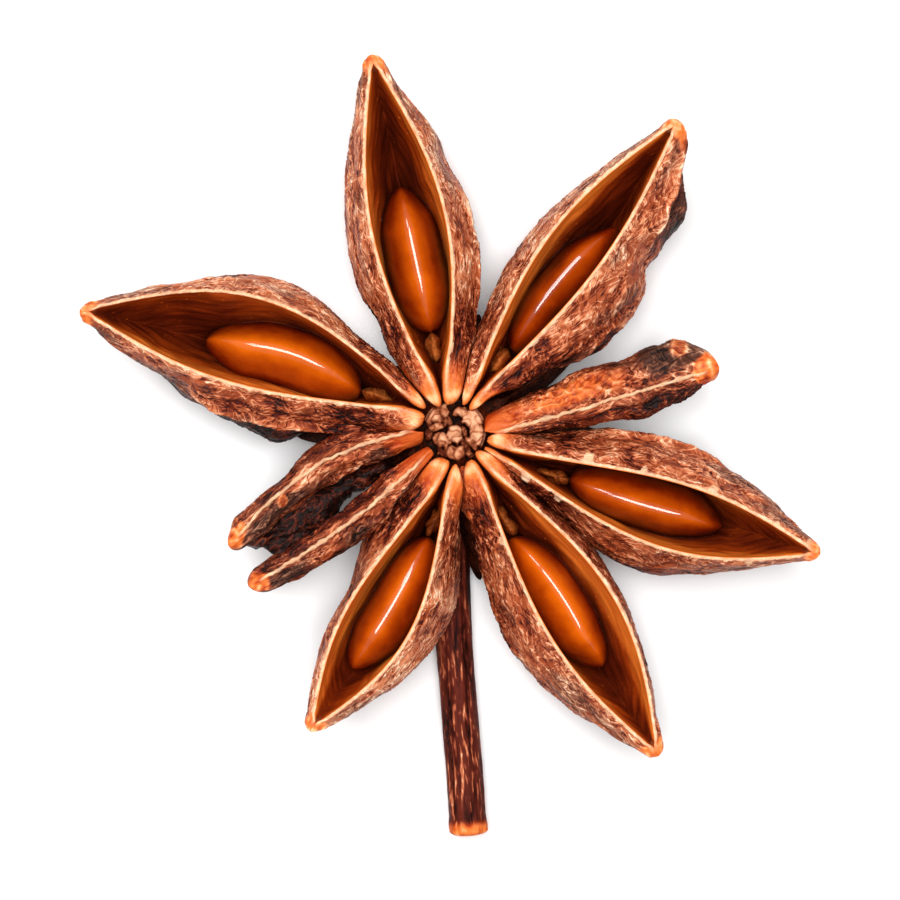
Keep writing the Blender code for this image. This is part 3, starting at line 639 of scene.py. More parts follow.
def openCarpel(key, spec, seed):
    # both flanks joined at the keel outside and at the floor inside make one ring at each place along the
    # carpel; at the inner end its two sides close on their middle by sqrt(1 - closing^2.4), like lips.
    # The relief is then added along the normals, and the layers are painted
    x = stations(spec["nose"], spec["reach"], husk["rows"])[:, None]
    line = carpelLines(spec, x)
    t = line["t"]
    tipAway = spec["reach"] - x
    line["gapes"] = smoothStep(0.35, 0.9, tipAway)
    hubMouth = 0.07 * (1 - smoothStep(2.5, 6.0, x))
    narrowed = 1 - 0.75 * (1 - smoothStep(1.3, 4.5, x))
    mouth = narrowed * np.sqrt(line["halfMouth"] ** 2 + hubMouth**2) * line["gapes"]
    fullTop = mouth + husk["rimWidth"] * (1.9 - 0.9 * smoothStep(2.2, 4.2, x))
    narrowTop = np.minimum(fullTop, np.maximum(0.75 * line["halfWidth"], 0.06))
    line["halfTop"] = np.where(t < 0.9, fullTop, narrowTop)
    line["mouth"] = np.minimum(mouth, 0.9 * line["halfTop"])
    line["crest"] = line["edge"] - 0.3 * (1 - line["tipRound"]) + 0.04 * softNoise(x / 1.7, 1.0, 0, seed)
    depth = np.maximum(line["crest"] - line["keel"] - husk["keelWall"] - 0.4, 0)
    depth = depth * smoothStep(1.3, 4.6, x) ** 0.8 * smoothStep(0.5, 2.5, tipAway) ** 0.6
    line["floor"] = line["crest"] - 0.25 - 0.15 * line["gapes"] - depth
    line["floorShift"] = (line["keelMiddle"] - line["middle"]) * smoothStep(2.5, 6.0, x) * (1 - t) ** 0.3
    ridge, seedHalf, seedHere = seedFlank(key, x)
    seedDepth = (line["crest"] - 4.0) / np.maximum(line["crest"] - line["floor"], 0.5)
    hollow = dict(ridge=ridge, half=seedHalf, here=seedHere, depth=np.clip(seedDepth, 0.2, 0.9))
    leftWedge, rightWedge = wedge(spec, x)
    ragged = 0.05 * softNoise(x / 0.5, 3.0, 0, seed) + 0.03 * softNoise(x / 0.16, 7.0, 0, seed)
    left = carpelSide(spec, x, line, 1, leftWedge, hollow, ragged)
    right = carpelSide(spec, x, line, -1, rightWedge, hollow, np.roll(ragged, 37, axis=0))
    outerY, outerZ, innerY, innerZ = (
        np.concatenate([a, b[:, -2::-1]], axis=1) for a, b in zip(left, right))
    # the lips' rounded inner ends
    closing = np.clip((spec["nose"] + husk["noseRound"] - x) / husk["noseRound"], 0, 0.98)
    thick = np.sqrt(1 - closing**2.4)
    centreY, centreZ = 0.5 * (outerY + innerY), 0.5 * (outerZ + innerZ)
    chainPoints = outerY.shape[1]
    ringY, ringZ = (
        np.concatenate([middle + (out - middle) * thick, (middle + (into - middle) * thick)[:, ::-1]], axis=1)
        for middle, out, into in ((centreY, outerY, innerY), (centreZ, outerZ, innerZ)))
    ringZ = ringZ - 0.35 * (1 - thick) * smoothStep(2.5, 5.5, ringZ)
    column = np.arange(2 * chainPoints)[None, :]
    half = chainPoints // 2
    isInner = column >= chainPoints
    onLeft = np.where(isInner, column > chainPoints + half, column <= half)
    lipShift = np.where(onLeft, *spec.get("lips", (0, 0)))
    lipShift = lipShift * (1 - smoothStep(spec["nose"], spec["nose"] + 2.5, x))
    grid = together(x + lipShift, ringY, ringZ)
    # how far from the rim's crest each point lies
    step = np.linalg.norm(np.diff(grid, axis=1), axis=-1)
    arc = np.concatenate([np.zeros((len(x), 1)), np.cumsum(step, axis=1)], axis=1)
    fromRight = np.abs(arc[:, chainPoints - 1 : chainPoints] - arc)
    down = np.where(column <= half, arc, fromRight)
    down = np.where(isInner, np.minimum(fromRight, arc[:, -1:] - arc), down)
    sideShift = np.where(onLeft, 0.0, 40.0)
    acrossPlace = down + sideShift
    height, tone = skinRelief(x + 0 * down, acrossPlace, seed, spec.get("curl", 0.5))
    dry = smoothStep(2.0, 4.5, x) * (0.45 + 0.55 * smoothStep(0.4, 1.3, tipAway))
    clear = smoothStep(0.1, 0.45, down) * np.where(isInner, 0, 1)
    normal = surfaceNormals(grid, half)
    push = height * (0.2 + 0.8 * dry) * clear
    push = push + 0.12 * softNoise(x / 2.1, acrossPlace / 1.5, 2, seed + 9) * clear * dry
    innerWaves = softNoise(x / 1.4, acrossPlace / 0.6, 4, seed + 25) * smoothStep(0.3, 1.0, down)
    push = push + isInner * 0.06 * innerWaves
    shade, crest = np.zeros_like(down), np.zeros_like(down)
    for ledge in spec.get("ledges", ()):
        # a fold along the flank: the skin stands out above the line and falls back below it, with painted
        # shade below the line and a painted highlight along the fold's crest
        where = smoothStep(ledge["start"], ledge["start"] + 1.2, x) * smoothStep(0, 1.2, ledge["end"] - x)
        where = where * (onLeft == (ledge["side"] > 0)) * np.where(isInner, 0, 1)
        below = down - ledge["down"] - ledge.get("slope", 0) * (x - ledge["start"])
        below = below - 0.18 * softNoise(x / 1.1, 2.0, 0, seed + 20)
        push = push + where * ledge["rise"] * (bell(below, 0, 0.22) - 1.2 * smoothStep(0, 0.35, below))
        shade = np.maximum(shade, ledge.get("dark", 0.3) * where * smoothStep(-0.02, 0.12, below))
        crest = np.maximum(crest, where * bell(below, -0.06, 0.09))
    grid = grid + normal * (push * smoothStep(0, 0.5, line["tipRound"]))[..., None]
    grid[..., 2] = np.maximum(grid[..., 2], 0.0)
    # paint: a pale line along the torn crest, wider where skin has peeled off
    signed = np.where(isInner, -down, down)
    peeled = smoothStep(0.25, 0.5, softNoise(x / 0.9, sideShift, 5, seed + 16))
    pale = 0.05 + 0.04 * softNoise(x / 0.7, sideShift, 0, seed + 6)
    pale = pale + 0.05 * softNoise(x / 0.2, sideShift, 0, seed + 6) + spec.get("peel", 0.12) * peeled
    rim = smoothStep(-0.1, -0.04, signed) * (1 - smoothStep(pale, pale + 0.06, signed))
    rim = rim * (0.75 + 0.5 * softNoise(x / 0.5, sideShift, 3, seed + 21)) * smoothStep(0.35, 0.9, tipAway)
    pastNose = x - spec["nose"]
    rim = rim * (0.25 * smoothStep(0.2, 0.7, pastNose) + 0.75 * smoothStep(0.9, 1.7, pastNose))
    rim = np.clip(rim, 0, 1)
    warm = 1 - smoothStep(2.3, 3.5, x + 1.1 * softNoise(x / 1.5, acrossPlace / 1.2, 0, seed + 7))
    tipWarm = 1 - smoothStep(0.5, 1.1, tipAway + 0.5 * softNoise(x / 0.5, down / 0.5, 4, seed) + 0.2 * down)
    warm = np.maximum(warm, tipWarm)
    grey = softNoise(x / 2.6, acrossPlace / 1.4, 9, seed + 8) + 0.5 * smoothStep(11, 17, x)
    grey = 0.7 * smoothStep(0.15, 0.7, grey) * smoothStep(0.2, 0.6, down)
    # inside: lighter by the rim, partly the wall's own orange and partly painted light, and towards the hub;
    # each side scaled by its painted light; darker with the way in, and painted shade with depth and in the
    # hollow by the hub
    across = np.abs(ringY - line["middle"]) / np.maximum(line["mouth"], 0.2)
    leftWallLight, rightWallLight = spec.get("wallLight", (1, 1))
    wallToneAndLight = 0.33 + (0.36 * smoothStep(0.35, 0.9, across) + 0.45 * smoothStep(0.78, 1.0, across)) * (
        1 - 0.3 * smoothStep(9, 17, x)) * np.where(onLeft, leftWallLight, rightWallLight)
    wallToneAndLight = wallToneAndLight * (0.5 + 0.5 * smoothStep(1.0, 5.5, ringZ))
    nearHub = 1 - smoothStep(2.2, 4.2, x)
    wallToneAndLight = wallToneAndLight * (1 - 0.3 * nearHub)
    # outside: dark red-brown between the lips and the belly; painted light by the rim, painted shade towards
    # the keel and below the ledges, a painted highlight on the ledges' crests
    # pale flecks near the hub, partly pale marks of the skin and partly painted highlight
    flecks = smoothStep(0.35, 0.55, softNoise(x / 0.4, acrossPlace / 0.13, 3, seed + 10))
    flecks = flecks * (1 - smoothStep(5, 8, x))
    tone = tone - 0.27 * hump((x - 2.4) / 5.0, 0.4, 1.0) * smoothStep(0.1, 0.4, down) - shade + 0.2 * crest
    tone = tone + 0.35 * flecks * (0.4 + 0.6 * dry)
    tone = tone + 0.12 * np.exp(-down / 0.5) - 0.1 * smoothStep(1.4, 3.6, down) + spec.get("tone", 0)
    tone = tone + np.where(onLeft, *spec.get("dim", (0, 0))) * smoothStep(0.2, 0.6, down)
    tone = tone + (0.55 - tone) * 0.7 * (1 - dry)
    tone = tone + tipWarm * (0.12 + 0.3 * softNoise(x / 0.3, acrossPlace / 0.25, 4, seed + 31))
    # a painted highlight on the top of each lip's rounded nose
    tone = tone + 0.3 * bell(pastNose, 0.4, 0.35) * smoothStep(-0.25, 0.15, signed)
    warmLip = nearHub * warm
    inside = isInner * smoothStep(0.03 + 0.12 * warmLip, 0.1 + 0.25 * warmLip, down) * line["gapes"]
    colours = dict(skin=together(tone, grey, wallToneAndLight), zone=together(rim, inside, warm),
                   place=together(x, acrossPlace, isInner * 3.0))
    piece = makeMesh("carpel_" + key, grid, spec["azimuth"], colours, huskSkin, folded=True)
    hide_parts("husk")
    return piece


for index, (key, spec) in enumerate(openCarpels.items()):
    openCarpel(key, spec, 100 * index + 17)
print("open carpels made")

# The seeds' levels and the points of their grids
seedShape = dict(top=5.95, low=2.0, rows=110, columns=128, innerEnd=0.42, outerEnd=0.36)


def seedPiece(key, spec, carpel):
    # sections along the seed: round below, and above two slopes, (1 - (side^2 + 0.02)^0.75)^0.85, that meet
    # in a ridge; both ends are rounded over a share of the length, the outer one to a blunt point
    start, length = spec["start"], spec["length"]
    x = (start + length * (0.5 - 0.5 * np.cos(np.linspace(0, pi, seedShape["rows"]))))[:, None]
    t = (x - start) / length
    body = roundEnd(x, start, start + length, seedShape["innerEnd"] * length, seedShape["outerEnd"] * length)
    body = body * (1 - 0.22 * np.clip((t - 0.72) / 0.28, 0, 1) ** 1.2)
    ridge = bowed(t, spec["sideIn"], spec["sideOut"], spec["bulge"])
    ridge = ridge + spec.get("hook", 0) * smoothStep(0.72, 1.0, t)
    top, low = seedShape["top"], spec.get("low", seedShape["low"])
    waist = low + 0.45 * (top - low)
    turn = ringTurn(seedShape["columns"])
    side, rise = np.sin(turn), np.cos(turn)
    slope = np.clip(1 - (side**2 + 0.02) ** 0.75, 0, 1) ** 0.85
    z = waist + np.where(rise > 0, (top - waist) * body**0.7 * slope, (waist - low) * body * rise)
    lean = carpel["lean"] * np.sin(pi * (x - husk["root"]) / (carpel["reach"] - husk["root"]))
    y = ridge + spec["halfWidth"] * body * side + 0.8 * lean * (top - z) / (top - low)
    grid = together(x, y, z)
    level = (1 - 0.5 * smoothStep(0.1, 0.75, np.abs(side)) - 0.4 * smoothStep(0.7, 1.0, np.abs(side))) * (
        0.25 + 0.75 * body**0.6)
    level = np.where(rise < 0, 0.1, level)
    colours = dict(skin=together(level, spec.get("shade", 0), 0))
    piece = makeMesh("seedCoat_" + key, grid, carpel["azimuth"], colours, seedCoat)
    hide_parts("seed_" + key)
    return piece


for key, spec in seeds.items():
    seedPiece(key, spec, openCarpels[key])
print("seeds made")

# The shut carpels: their grid, the half width of their inner ends, and the flank's millimetres to a radian
shut = dict(rows=210, columns=220, noseWidth=0.62, flankScale=1.3)


def shutCarpel(key, spec, seed):
    # a closed section carried along: half width * sin and half height * cos of the turn, flattened above
    # near the hub by |cos|^0.35, its crown, cos^3, leaning to a raised pale seam
    x = stations(husk["nose"], spec["reach"], shut["rows"])[:, None]
    t = (x - husk["root"]) / (spec["reach"] - husk["root"])
    tipRound = roundEnd(x, husk["nose"], spec["reach"], 0.4, spec["blunt"])
    seam = bowed(t, spec["root"], spec["tip"], spec["bow"])
    bellyMiddle = seam + spec["lean"] * np.sin(pi * np.clip(t, 0, 1)) ** 0.6
    wider = spec.get("noseWidth", shut["noseWidth"]) - shut["noseWidth"]
    noseWidth = shut["noseWidth"] + wider * (1 - smoothStep(2.0, 5.0, x))
    halfWidth = (noseWidth + spec["belly"] * hump(t, spec["bellyPeak"], 0.8)) * tipRound
    top = spec["top"] - 0.5 * t
    drop = spec["depth"] * (0.75 + 0.25 * np.sin(pi * t)) * (1 - 0.55 * t) * tipRound + 0.06
    turn = ringTurn(shut["columns"])
    turn = turn - 0.45 * np.sin(turn)  # more points over the upper half
    crown = np.clip(np.cos(turn), 0, 1) ** 3
    y = bellyMiddle + halfWidth * np.sin(turn) + (seam - bellyMiddle) * crown
    for side, place, size, rise in spec["bumps"]:
        y = y + side * rise * bell(x, place, size) * tipRound * np.clip(side * np.sin(turn), 0, 1)
    flat = 0.75 * (1 - smoothStep(2.5, 6.0, x))
    level = np.cos(turn)
    level = level + flat * (np.sign(level) * np.abs(level) ** 0.35 - level)
    z = top - 0.5 * drop + 0.5 * drop * level + 0.05 * crown * tipRound
    leftWedge, rightWedge = wedge(spec, x)
    keep = 1 - smoothStep(4.0, 7.0, x)
    y = y + (underLimit(y, leftWedge) - y) * keep
    y = y + (-underLimit(-y, rightWedge) - y) * keep
    grid = together(x, y, z)
    angle = np.where(turn > pi, turn - 2 * pi, turn)
    down = angle * shut["flankScale"]
    farSide = np.where(np.abs(angle) > 1.5, 2.0, 0.0)
    fromSeam = np.abs(y - seam) + farSide
    height, tone = skinRelief(x + 0 * down, down + 20, seed, spec["curl"])
    normal = surfaceNormals(grid)
    tipAway = spec["reach"] - x
    dry = smoothStep(2.0, 4.0, x) * smoothStep(0.3, 0.9, tipAway)
    lumps = 0.16 * softNoise(x / 1.6, down / 1.1 + 20, 2, seed + 9)
    # curled lumps of peeled skin beside the seam
    besideSeam = smoothStep(0.15, 0.4, angle) * (1 - smoothStep(0.7, 1.15, angle))
    curls = spec.get("curls", 0) * hump((x - 3.2) / 6.0, 0.45, 0.8) * besideSeam
    swirl = softNoise(x / 0.55 + 0.4 * np.sin(3 * down), down / 0.4, 6, seed + 22)
    curlRise = curls * (0.35 + ridges(swirl, 2.0))
    crook = seam + 0.1 * softNoise(x / 1.2, 3.0, 0, seed + 23)
    crook = crook + 0.05 * softNoise(x / 0.35, 3.0, 0, seed + 24)
    fromCrook = np.abs(y - crook) + farSide
    seamLine = bell(fromCrook, 0, 0.1) * smoothStep(0, 1.2, tipAway)
    push = (height * 1.3 + lumps) * dry * smoothStep(0.1, 0.4, fromSeam)
    push = push + 0.12 * seamLine * tipRound + 0.22 * curlRise
    grid = grid + normal * (push * smoothStep(0, 0.5, tipRound))[..., None]
    seamWidth = 0.04 + 0.05 * softNoise(x / 0.4, 0.0, 0, seed + 6)
    seamWidth = seamWidth + 0.06 * smoothStep(0.2, 0.5, softNoise(x, 9.0, 0, seed))
    rim = (1 - smoothStep(seamWidth, seamWidth + 0.06, fromCrook)) * smoothStep(0.5, 1.0, tipAway)
    rim = rim * smoothStep(1.7, 2.8, x) * np.clip(0.75 + 0.5 * softNoise(x / 0.7, 5.0, 0, seed + 26), 0, 1)
    warm = 1 - smoothStep(1.8, 4.0, x + 1.2 * softNoise(x / 1.5, down / 1.5, 0, seed + 7))
    knob = np.hypot(tipAway - 0.5, y - seam) + 0.2 * softNoise(x / 0.4, y / 0.4, 0, seed)
    atTip = 1 - smoothStep(spec["tipSize"], spec["tipSize"] + 0.25, knob)
    warm = np.maximum(warm, atTip)
    warm = np.maximum(warm, np.clip(1.6 * curlRise, 0, 0.9))
    grey = smoothStep(0.0, 0.5, softNoise(x / 3.0, down / 1.6, 9, seed + 8) + 0.7 * smoothStep(7, 12, x))
    grey = grey * (0.25 + 0.75 * smoothStep(0.1, 0.5, angle)) * (1 - atTip)
    # painted shade on the right of the seam and towards the ground
    below = smoothStep(0.1, 0.6, -angle)
    tone = tone + spec["tone"] + 0.2 * curlRise - 0.3 * below * spec["shadeBelow"]
    tone = tone - 0.12 * smoothStep(0.9, 1.5, np.abs(angle))
    tone = tone + (0.55 - tone) * 0.6 * (1 - dry) - 0.12 * grey
    tone = tone + atTip * (0.15 + 0.35 * softNoise(x / 0.3, y / 0.25, 2, seed + 27))
    for place, side, size in spec.get("rings", ()):
        # a small curl of peeled skin: a raised pale ring with warm skin in it
        away = np.hypot(x - place, y - seam - side) / size + 0.25 * softNoise(x / 0.3, y / 0.3, 0, seed + 30)
        ring = bell(away, 1, 0.35)
        tone = tone + 0.32 * ring
        warm = np.maximum(warm, 0.55 * (1 - smoothStep(0.9, 1.5, away)))
        grid = grid + normal * (0.06 * ring)[..., None]
    colours = dict(skin=together(tone, grey, 0), zone=together(rim, 0, warm), place=together(x, down + 20, 0))
    piece = makeMesh("carpel_" + key, grid, spec["azimuth"], colours, huskSkin)
    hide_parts("husk")
    return piece


for index, (key, spec) in enumerate(shutCarpels.items()):
    shutCarpel(key, spec, 1000 + 100 * index)
print("shut carpels made")

# The hub: its side from the bottom up as radius and height, the level of its top, and the rings of points
hub = dict(profile=((1.3, 1.9), (2.1, 2.5), (2.3, 3.4), (1.9, 5.0), (1.55, 5.45)), floor=5.45, bottom=1.9,
           topRings=90, sideRings=40, bottomRings=16, columns=260, lumpScale=1.18)
# Lumps on its top: place to the right and up, half sizes, turn in degrees, height above the floor
hubLumps = (
    (0.05, -0.15, 0.39, 0.41, 0, 0.85),
    (-1.06, 0.75, 0.4, 0.42, 30, 0.7),
    (-0.81, 0.2, 0.46, 0.2, 15, 0.62),
    (-0.66, -0.49, 0.42, 0.36, -35, 0.7),
    (-0.5, 0.97, 0.24, 0.36, 10, 0.66),
    (0.38, 0.92, 0.42, 0.27, -10, 0.7),
    (0.95, 0.57, 0.46, 0.46, 0, 0.8),
    (1.2, -0.24, 0.42, 0.52, 15, 0.75),
    (0.07, -1.1, 0.58, 0.34, 0, 0.62),
    (0.82, -1.2, 0.32, 0.16, -30, 0.55),
    (0.51, -0.05, 0.12, 0.4, 20, 0.55),
    (0.84, -0.62, 0.52, 0.14, -50, 0.62),
    (0.56, -0.74, 0.45, 0.14, -50, 0.5),
    (-0.2, 0.4, 0.13, 0.28, 10, 0.5),
    (-0.48, 0.53, 0.28, 0.16, -40, 0.5),
    (-1.25, -0.2, 0.2, 0.3, 0, 0.4),
    (-0.45, -1.1, 0.25, 0.2, 0, 0.4),
)


def hubPiece(seed):
    # rings out from the middle of the top, over the edge and down the profile to the bottom; each lump
    # raises the top by its height times sqrt(1 - away^1.4), where away is the squared distance in its own
    # half sizes, made angular by noise
    topRings, bottomRings = hub["topRings"], hub["bottomRings"]
    outline = np.array(hub["profile"])[::-1]
    down, corners = np.linspace(0, 1, hub["sideRings"]), np.linspace(0, 1, len(outline))
    sideRadius, sideHeight = (np.interp(down, corners, outline[:, column])[1:] for column in (0, 1))
    topRadius = np.linspace(0.01, outline[0, 0], topRings)
    bottomRadius = np.linspace(outline[-1, 0], 0.02, bottomRings)[1:]
    radius = np.concatenate([topRadius, sideRadius, bottomRadius])[:, None]
    level = np.concatenate([np.full(topRings, hub["floor"]), sideHeight,
                            np.full(bottomRings - 1, hub["bottom"])])
    turn = ringTurn(hub["columns"])
    x, y = radius * np.cos(turn), radius * np.sin(turn)
    warpX = x + 0.09 * softNoise(x / 0.4, y / 0.4, 0, seed)
    warpY = y + 0.09 * softNoise(x / 0.4, y / 0.4, 4, seed)
    rise = np.zeros_like(x)
    lumpEdgeHighlight = np.zeros_like(x)
    for index, (placeX, placeY, sizeX, sizeY, angle, height) in enumerate(hubLumps):
        c, s = cos(radians(angle)), sin(radians(angle))
        u = ((warpX - placeX) * c + (warpY - placeY) * s) / (hub["lumpScale"] * sizeX)
        v = ((warpY - placeY) * c - (warpX - placeX) * s) / (hub["lumpScale"] * sizeY)
        away = (u * u + v * v) * (1 + 0.75 * softNoise(x / 0.3, y / 0.3, 3.7 * index, seed + 4))
        away = np.maximum(away, 0)
        lump = height * np.sqrt(np.clip(1 - away**1.4, 0, 1))
        lumpEdgeHighlight = np.where(lump > rise, bell(away, 0.55, 0.2), lumpEdgeHighlight)
        rise = np.maximum(rise, lump)
    cracks = ridges(softNoise(warpX / 0.55, warpY / 0.55, 6, seed), 3.4)
    rise = rise * (1 - 0.16 * cracks) + 0.03 * softNoise(x / 0.2, y / 0.2, 2, seed)
    top = 1 - smoothStep(1.4, 1.55, radius)
    onTop = (np.arange(len(radius)) < topRings)[:, None]
    z = level[:, None] + np.where(onTop, rise * top, 0)
    grid = together(x, y, z)
    # tone: lumps lighter by their height, the floor and cracks between them darker, partly painted shade; a
    # painted highlight round each lump's edge
    tone = np.clip(rise / 0.75, 0, 1) ** 1.5 - 0.1 * cracks
    tone = tone + 0.2 * softNoise(x / 0.35, y / 0.35, 1, seed + 1)
    tone = 0.95 * tone + 0.3 * lumpEdgeHighlight * np.clip(tone, 0, 1)
    # the side and bottom dark as painted shade
    tone = np.where(onTop, tone, 0.12 + 0.15 * softNoise(x, y, z, seed))
    colours = dict(skin=together(tone, 0, 0))
    piece = makeMesh("hub", grid, 0, colours, hubWood)
    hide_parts("husk")
    return piece


hubPiece(5)

# The fused base, near-black as painted shade between the carpels, and how far it reaches into each gap:
# direction in degrees, reach
base = dict(gaps=((32, 6.9), (-1.0, 7.3), (-39, 6.4), (-80, 7.4), (-102, 4.5), (-128, 5.7), (-151.5, 5.0),
                  (-178.5, 7.8), (132, 4.4), (78, 6.0)),
            low=1.2, high=5.0, least=2.4, inner=1.0, topRings=60, underRings=30, columns=360)


def basePiece(seed):
    # rings from the middle out over the top to the edge and back under; the edge runs out to a rounded
    # point in each gap, by the reach times exp(-angle / 0.13)
    turn = ringTurn(base["columns"])
    edge = np.full_like(turn, base["least"])
    for direction, reach in base["gaps"]:
        away = (turn - radians(direction) + pi) % (2 * pi) - pi
        edge = edge + (reach - base["least"]) * np.exp(-(np.sqrt(away**2 + 0.003) - 0.055) / 0.13)
    out = np.concatenate([np.linspace(0.02, 1, base["topRings"]),
                          np.linspace(1, 0.02, base["underRings"])[1:]])
    under = (np.arange(len(out)) >= base["topRings"])[:, None]
    out = out[:, None]
    fall = np.clip((out - 0.35) / 0.65, 0, 1)
    radius = base["inner"] + (edge - base["inner"]) * out
    over = base["high"] - (base["high"] - base["low"] - 0.25) * fall**0.8
    z = np.where(under, base["low"] + 1.2 * (1 - out), over)
    x, y = radius * np.cos(turn), radius * np.sin(turn)
    rough = softNoise(x / 0.5, y / 0.5, z / 0.5, seed)
    grid = together(x, y, z + 0.12 * rough * (1 - out**6))
    # near-black all over: painted shade
    tone = 0.1 + 0.12 * rough
    colours = dict(skin=together(tone, 0, 0))
    piece = makeMesh("fusedBaseShade", grid, 0, colours, hubWood)
    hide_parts("husk")
    return piece


basePiece(6)

# The stalk's middle line runs out from the hub: out, left, up
stalk = dict(azimuth=-88, radius=0.95, cap=0.3, rows=240, capRows=14, columns=120,
             line=((-0.8, 0.1, 2.9), (0.9, 0.0, 2.2), (3.2, -0.15, 1.5), (6.5, -0.35, 1.1),
                   (10.0, -0.38, 1.0), (13.5, -0.25, 1.0), (17.0, -0.08, 0.97), (20.1, 0.02, 0.95)))


def smoothLine(points, count):
    # a chain of cubic pieces through the points, each with the slope (after - before) / 2 at its ends
    points = np.array(points, float)
    padded = np.vstack([2 * points[0] - points[1], points, 2 * points[-1] - points[-2]])
    place = np.linspace(0, len(points) - 1, count)
    piece = np.minimum(place.astype(int), len(points) - 2)
    u = (place - piece)[:, None]
    before, here, after, beyond = (padded[piece + k] for k in range(4))
    return 0.5 * (2 * here + (after - before) * u + (2 * before - 5 * here + 4 * after - beyond) * u**2
                  + (3 * here - before - 3 * after + beyond) * u**3)


def stalkPiece(seed):
    # a tube square to its line, radius + ridges drawn out lengthwise, its cut end rounded over by
    # cos^0.7 of a quarter turn
    line = smoothLine(stalk["line"], stalk["rows"])
    along = np.gradient(line, axis=0)
    along /= np.linalg.norm(along, axis=1)[:, None]
    across = np.cross((0, 0, 1), along)
    across /= np.linalg.norm(across, axis=1)[:, None]
    up = np.cross(along, across)
    capTurn = np.linspace(0, 1, stalk["capRows"])[1:, None] * pi / 2
    line = np.concatenate([line, line[-1] + along[-1] * stalk["cap"] * np.sin(capTurn)])
    across, up = (
        np.concatenate([part, np.repeat(part[-1:], len(capTurn), axis=0)]) for part in (across, up))
    swell = np.concatenate([np.ones(stalk["rows"]), np.cos(capTurn[:, 0]) ** 0.7 + 0.02])[:, None]
    turn = ringTurn(stalk["columns"])
    out = line[:, :1]

    def barkNoise(length, around, number):
        # noise along the stalk and round it: features of the given length, more of them the larger around is
        return softNoise(out / length, np.cos(turn) * around, np.sin(turn) * around, seed + number)

    bark = 0.035 * barkNoise(3.0, 3.2, 0) + 0.02 * barkNoise(0.8, 6, 1)
    knob = 0.05 * smoothStep(19.3, 19.9, out) + 0.08 * smoothStep(19.0, 20.0, out) * barkNoise(0.4, 1.5, 2)
    radius = (stalk["radius"] - 0.03) * swell + (bark + knob) * swell
    grid = line[:, None, :] + radius[..., None] * (
        np.cos(turn)[..., None] * up[:, None, :] + np.sin(turn)[..., None] * across[:, None, :])
    grid[..., 2] = np.maximum(grid[..., 2], 0.0)
    streak = smoothStep(0.25, 0.6, barkNoise(4.0, 5, 3))
    flecks = smoothStep(0.3, 0.5, barkNoise(0.9, 7, 4))
    far = smoothStep(7.0, 12.0, out)
    fine = smoothStep(0.3, 0.55, barkNoise(0.35, 9, 5))
    tone = 0.19 + 7 * bark + (0.1 + 0.45 * far) * streak + (0.1 + 0.3 * far) * flecks + 0.22 * fine
    tone = np.clip(tone, 0, 1)
    # the cut end is bare wood
    warm = smoothStep(19.5, 20.0, out)
    cap = 0.7 + 0.3 * softNoise(grid[..., 0] / 0.35, grid[..., 1] / 0.35, grid[..., 2] / 0.35, seed + 6)
    tone = tone + (cap - tone) * 0.8 * warm
    colours = dict(skin=together(tone, 0, warm))
    piece = makeMesh("stalk", grid, stalk["azimuth"], colours, stalkBark)
    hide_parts("husk")
    return piece


stalkPiece(9)


bladePoints = 110  # along and round each small piece


def bladePiece(outline, low, high, seed, rough):
    # a sliver between the right and left sides given along it: half width * sin and half height * cos of
    # the turn, with rounded ends, made rough along its normals
    x = stations(outline[0][0], outline[-1][0], bladePoints)[:, None]
    places, rights, lefts = np.array(outline, float).T
    right, left = np.interp(x, places, rights), np.interp(x, places, lefts)
    size = roundEnd(x, places[0], places[-1], 0.6, 0.4)
    turn = ringTurn(bladePoints)
    ragged = 0.12 * softNoise(x / 0.6, np.sin(turn), 0, seed + 3)
    y = 0.5 * (left + right) + (0.5 * (left - right) * size + ragged * size) * np.sin(turn)
    z = 0.5 * (low + high) + 0.5 * (high - low) * size * np.cos(turn)
    grid = together(x, y, z)
    height, tone = skinRelief(x + 0 * turn, y, seed)
    push = rough * (height + 0.12 * softNoise(x / 0.8, y / 0.8, np.cos(turn) * 1.5, seed))
    return grid + surfaceNormals(grid) * (push * smoothStep(0, 0.4, size))[..., None], tone


def smallPiece(name, azimuth, shape, look, seed, rough, finish=huskSkin):
    # a sliver of dry husk; look is how grey, how warm, and the tone as tone * shade + lift
    grid, tone = bladePiece(seed=seed, rough=rough, **shape)
    grey, warm, shade, lift = look
    colours = dict(skin=together(tone * shade + lift, grey, 0), zone=together(0 * tone, 0, warm),
                   place=grid)
    piece = makeMesh(name, grid, azimuth, colours, finish)
    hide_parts("husk")
    return piece


# The web between two carpels and the tongue by the hub: along, right side, left side
webOutline = ((3.4, -0.5, 0.1), (4.5, -0.7, 0.1), (5.6, -0.85, 0.1), (6.6, -1.0, 0.2), (7.4, -1.1, 0.6),
              (8.0, -1.2, 1.0), (9.0, -1.3, 1.2), (10.3, -1.1, 1.2), (10.9, -0.9, 0.9), (11.2, -0.75, 0.1),
              (11.9, -0.5, -0.2))
# the web near-black, tone * 0.32 - 0.2: painted shade on the carpel's lower body
smallPiece("web", -149.5, dict(outline=webOutline, low=2.3, high=4.7), (0.4, 0.0, 0.32, -0.2), 61, 1.6)
tongueOutline = ((1.6, -0.1, 0.3), (2.2, -0.22, 0.42), (3.4, -0.22, 0.42), (4.5, -0.1, 0.3))
smallPiece("tongue", -80.5, dict(outline=tongueOutline, low=4.3, high=5.3), (0.0, 0.6, 0.9, 0.0), 62, 0.4)
# Each seed's stem, from its own end and middle
stemSides = ((-1.4, -0.1, 0.12), (-0.9, -0.28, 0.3), (-0.3, -0.33, 0.33), (0.3, -0.2, 0.22))
for key, spec in seeds.items():
    stemOutline = np.array(stemSides) + (spec["start"] - 0.3, spec["sideIn"], spec["sideIn"])
    smallPiece("seedStem_" + key, openCarpels[key]["azimuth"], dict(outline=stemOutline, low=2.2, high=5.1),
               (0.0, 0.0, 1.0, 0.0), 70, 0.5, stemFibre)
print("hub, stalk and small pieces made")

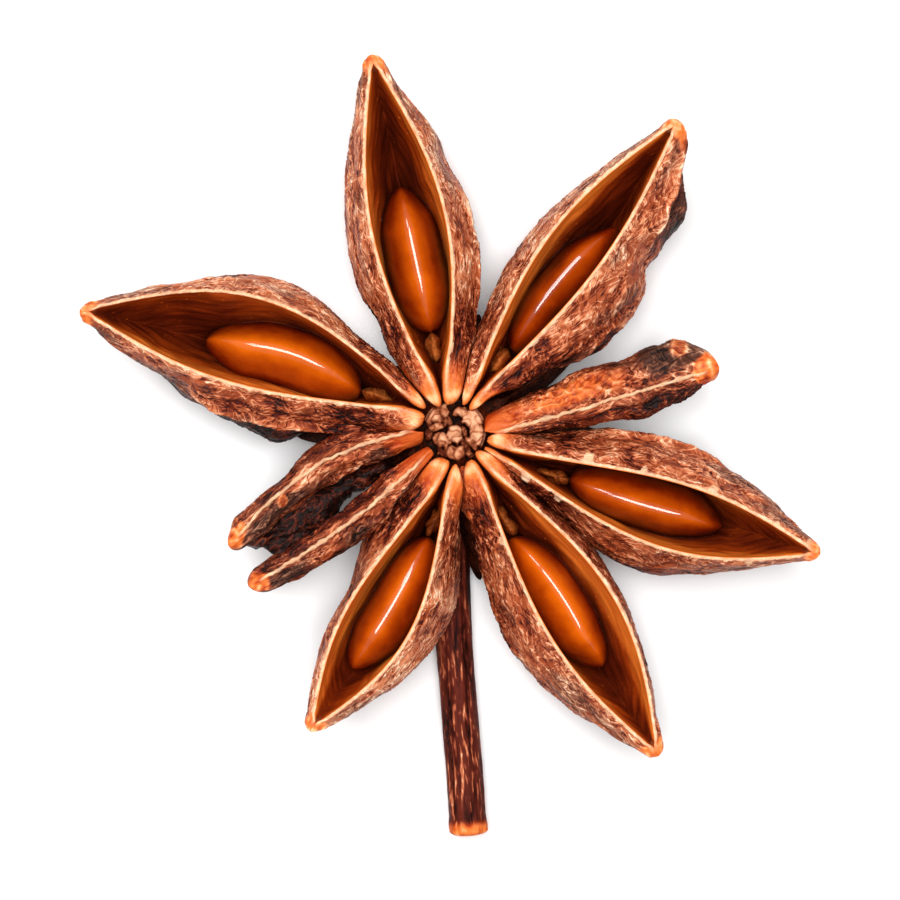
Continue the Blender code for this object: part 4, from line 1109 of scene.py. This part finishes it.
# Floor, light and camera, in metres: each light has a place, a width and a power
room = dict(floorHalf=2.0, floorGrey=246, floorMatt=0.9, skyStrength=0.32, lens=200, frameShare=0.88,
            lights={"keySoftbox": ((-0.14, 0.2, 0.4), 0.16, 0.7),
                    "topSoftbox": ((0.01, 0.01, 0.6), 0.34, 4.0)})


def studio():
    # a flat floor, square lights that look at the middle, and a camera straight above, as high as makes the
    # pod's long side fill its share of the frame: side / share * lens / sensor
    floorMesh = bpy.data.meshes.new("floor")
    size = room["floorHalf"]
    corners = [(-size, -size, 0), (size, -size, 0), (size, size, 0), (-size, size, 0)]
    floorMesh.from_pydata(corners, [], [(0, 1, 2, 3)])
    floor = bpy.data.objects.new("floor", floorMesh)
    bpy.context.scene.collection.objects.link(floor)
    paper, tree, shader = newFinish("floorPaper")
    fillInputs(tree, shader, Base_Color=srgb(*[room["floorGrey"]] * 3), Roughness=room["floorMatt"],
               Specular_IOR_Level=0.1)
    floorMesh.materials.append(paper)
    for name, (place, width, power) in room["lights"].items():
        lamp = bpy.data.lights.new(name, "AREA")
        lamp.shape = "SQUARE"
        lamp.size = width
        lamp.energy = power
        holder = bpy.data.objects.new(name, lamp)
        holder.location = place
        towards = np.array(place) / np.linalg.norm(place)
        holder.rotation_euler = (float(np.arccos(towards[2])), 0, float(atan2(towards[0], -towards[1])))
        bpy.context.scene.collection.objects.link(holder)
    world = bpy.data.worlds.new("studioWorld")
    world.use_nodes = True
    background = world.node_tree.nodes["Background"]
    fillInputs(world.node_tree, background, Color=(1, 1, 1, 1), Strength=room["skyStrength"])
    bpy.context.scene.world = world
    camera = bpy.data.cameras.new("camera")
    camera.lens = room["lens"]
    camera.clip_start = 0.01
    camera.dof.use_dof = False
    holder = bpy.data.objects.new("camera", camera)
    longSide = (cadBox[1] - cadBox[0])[1]
    distance = longSide / room["frameShare"] * camera.lens / camera.sensor_width
    holder.location = (0, 0, distance + cadBox[1][2])
    bpy.context.scene.collection.objects.link(holder)
    bpy.context.scene.camera = holder
    bpy.context.scene.view_settings.view_transform = "Standard"


studio()
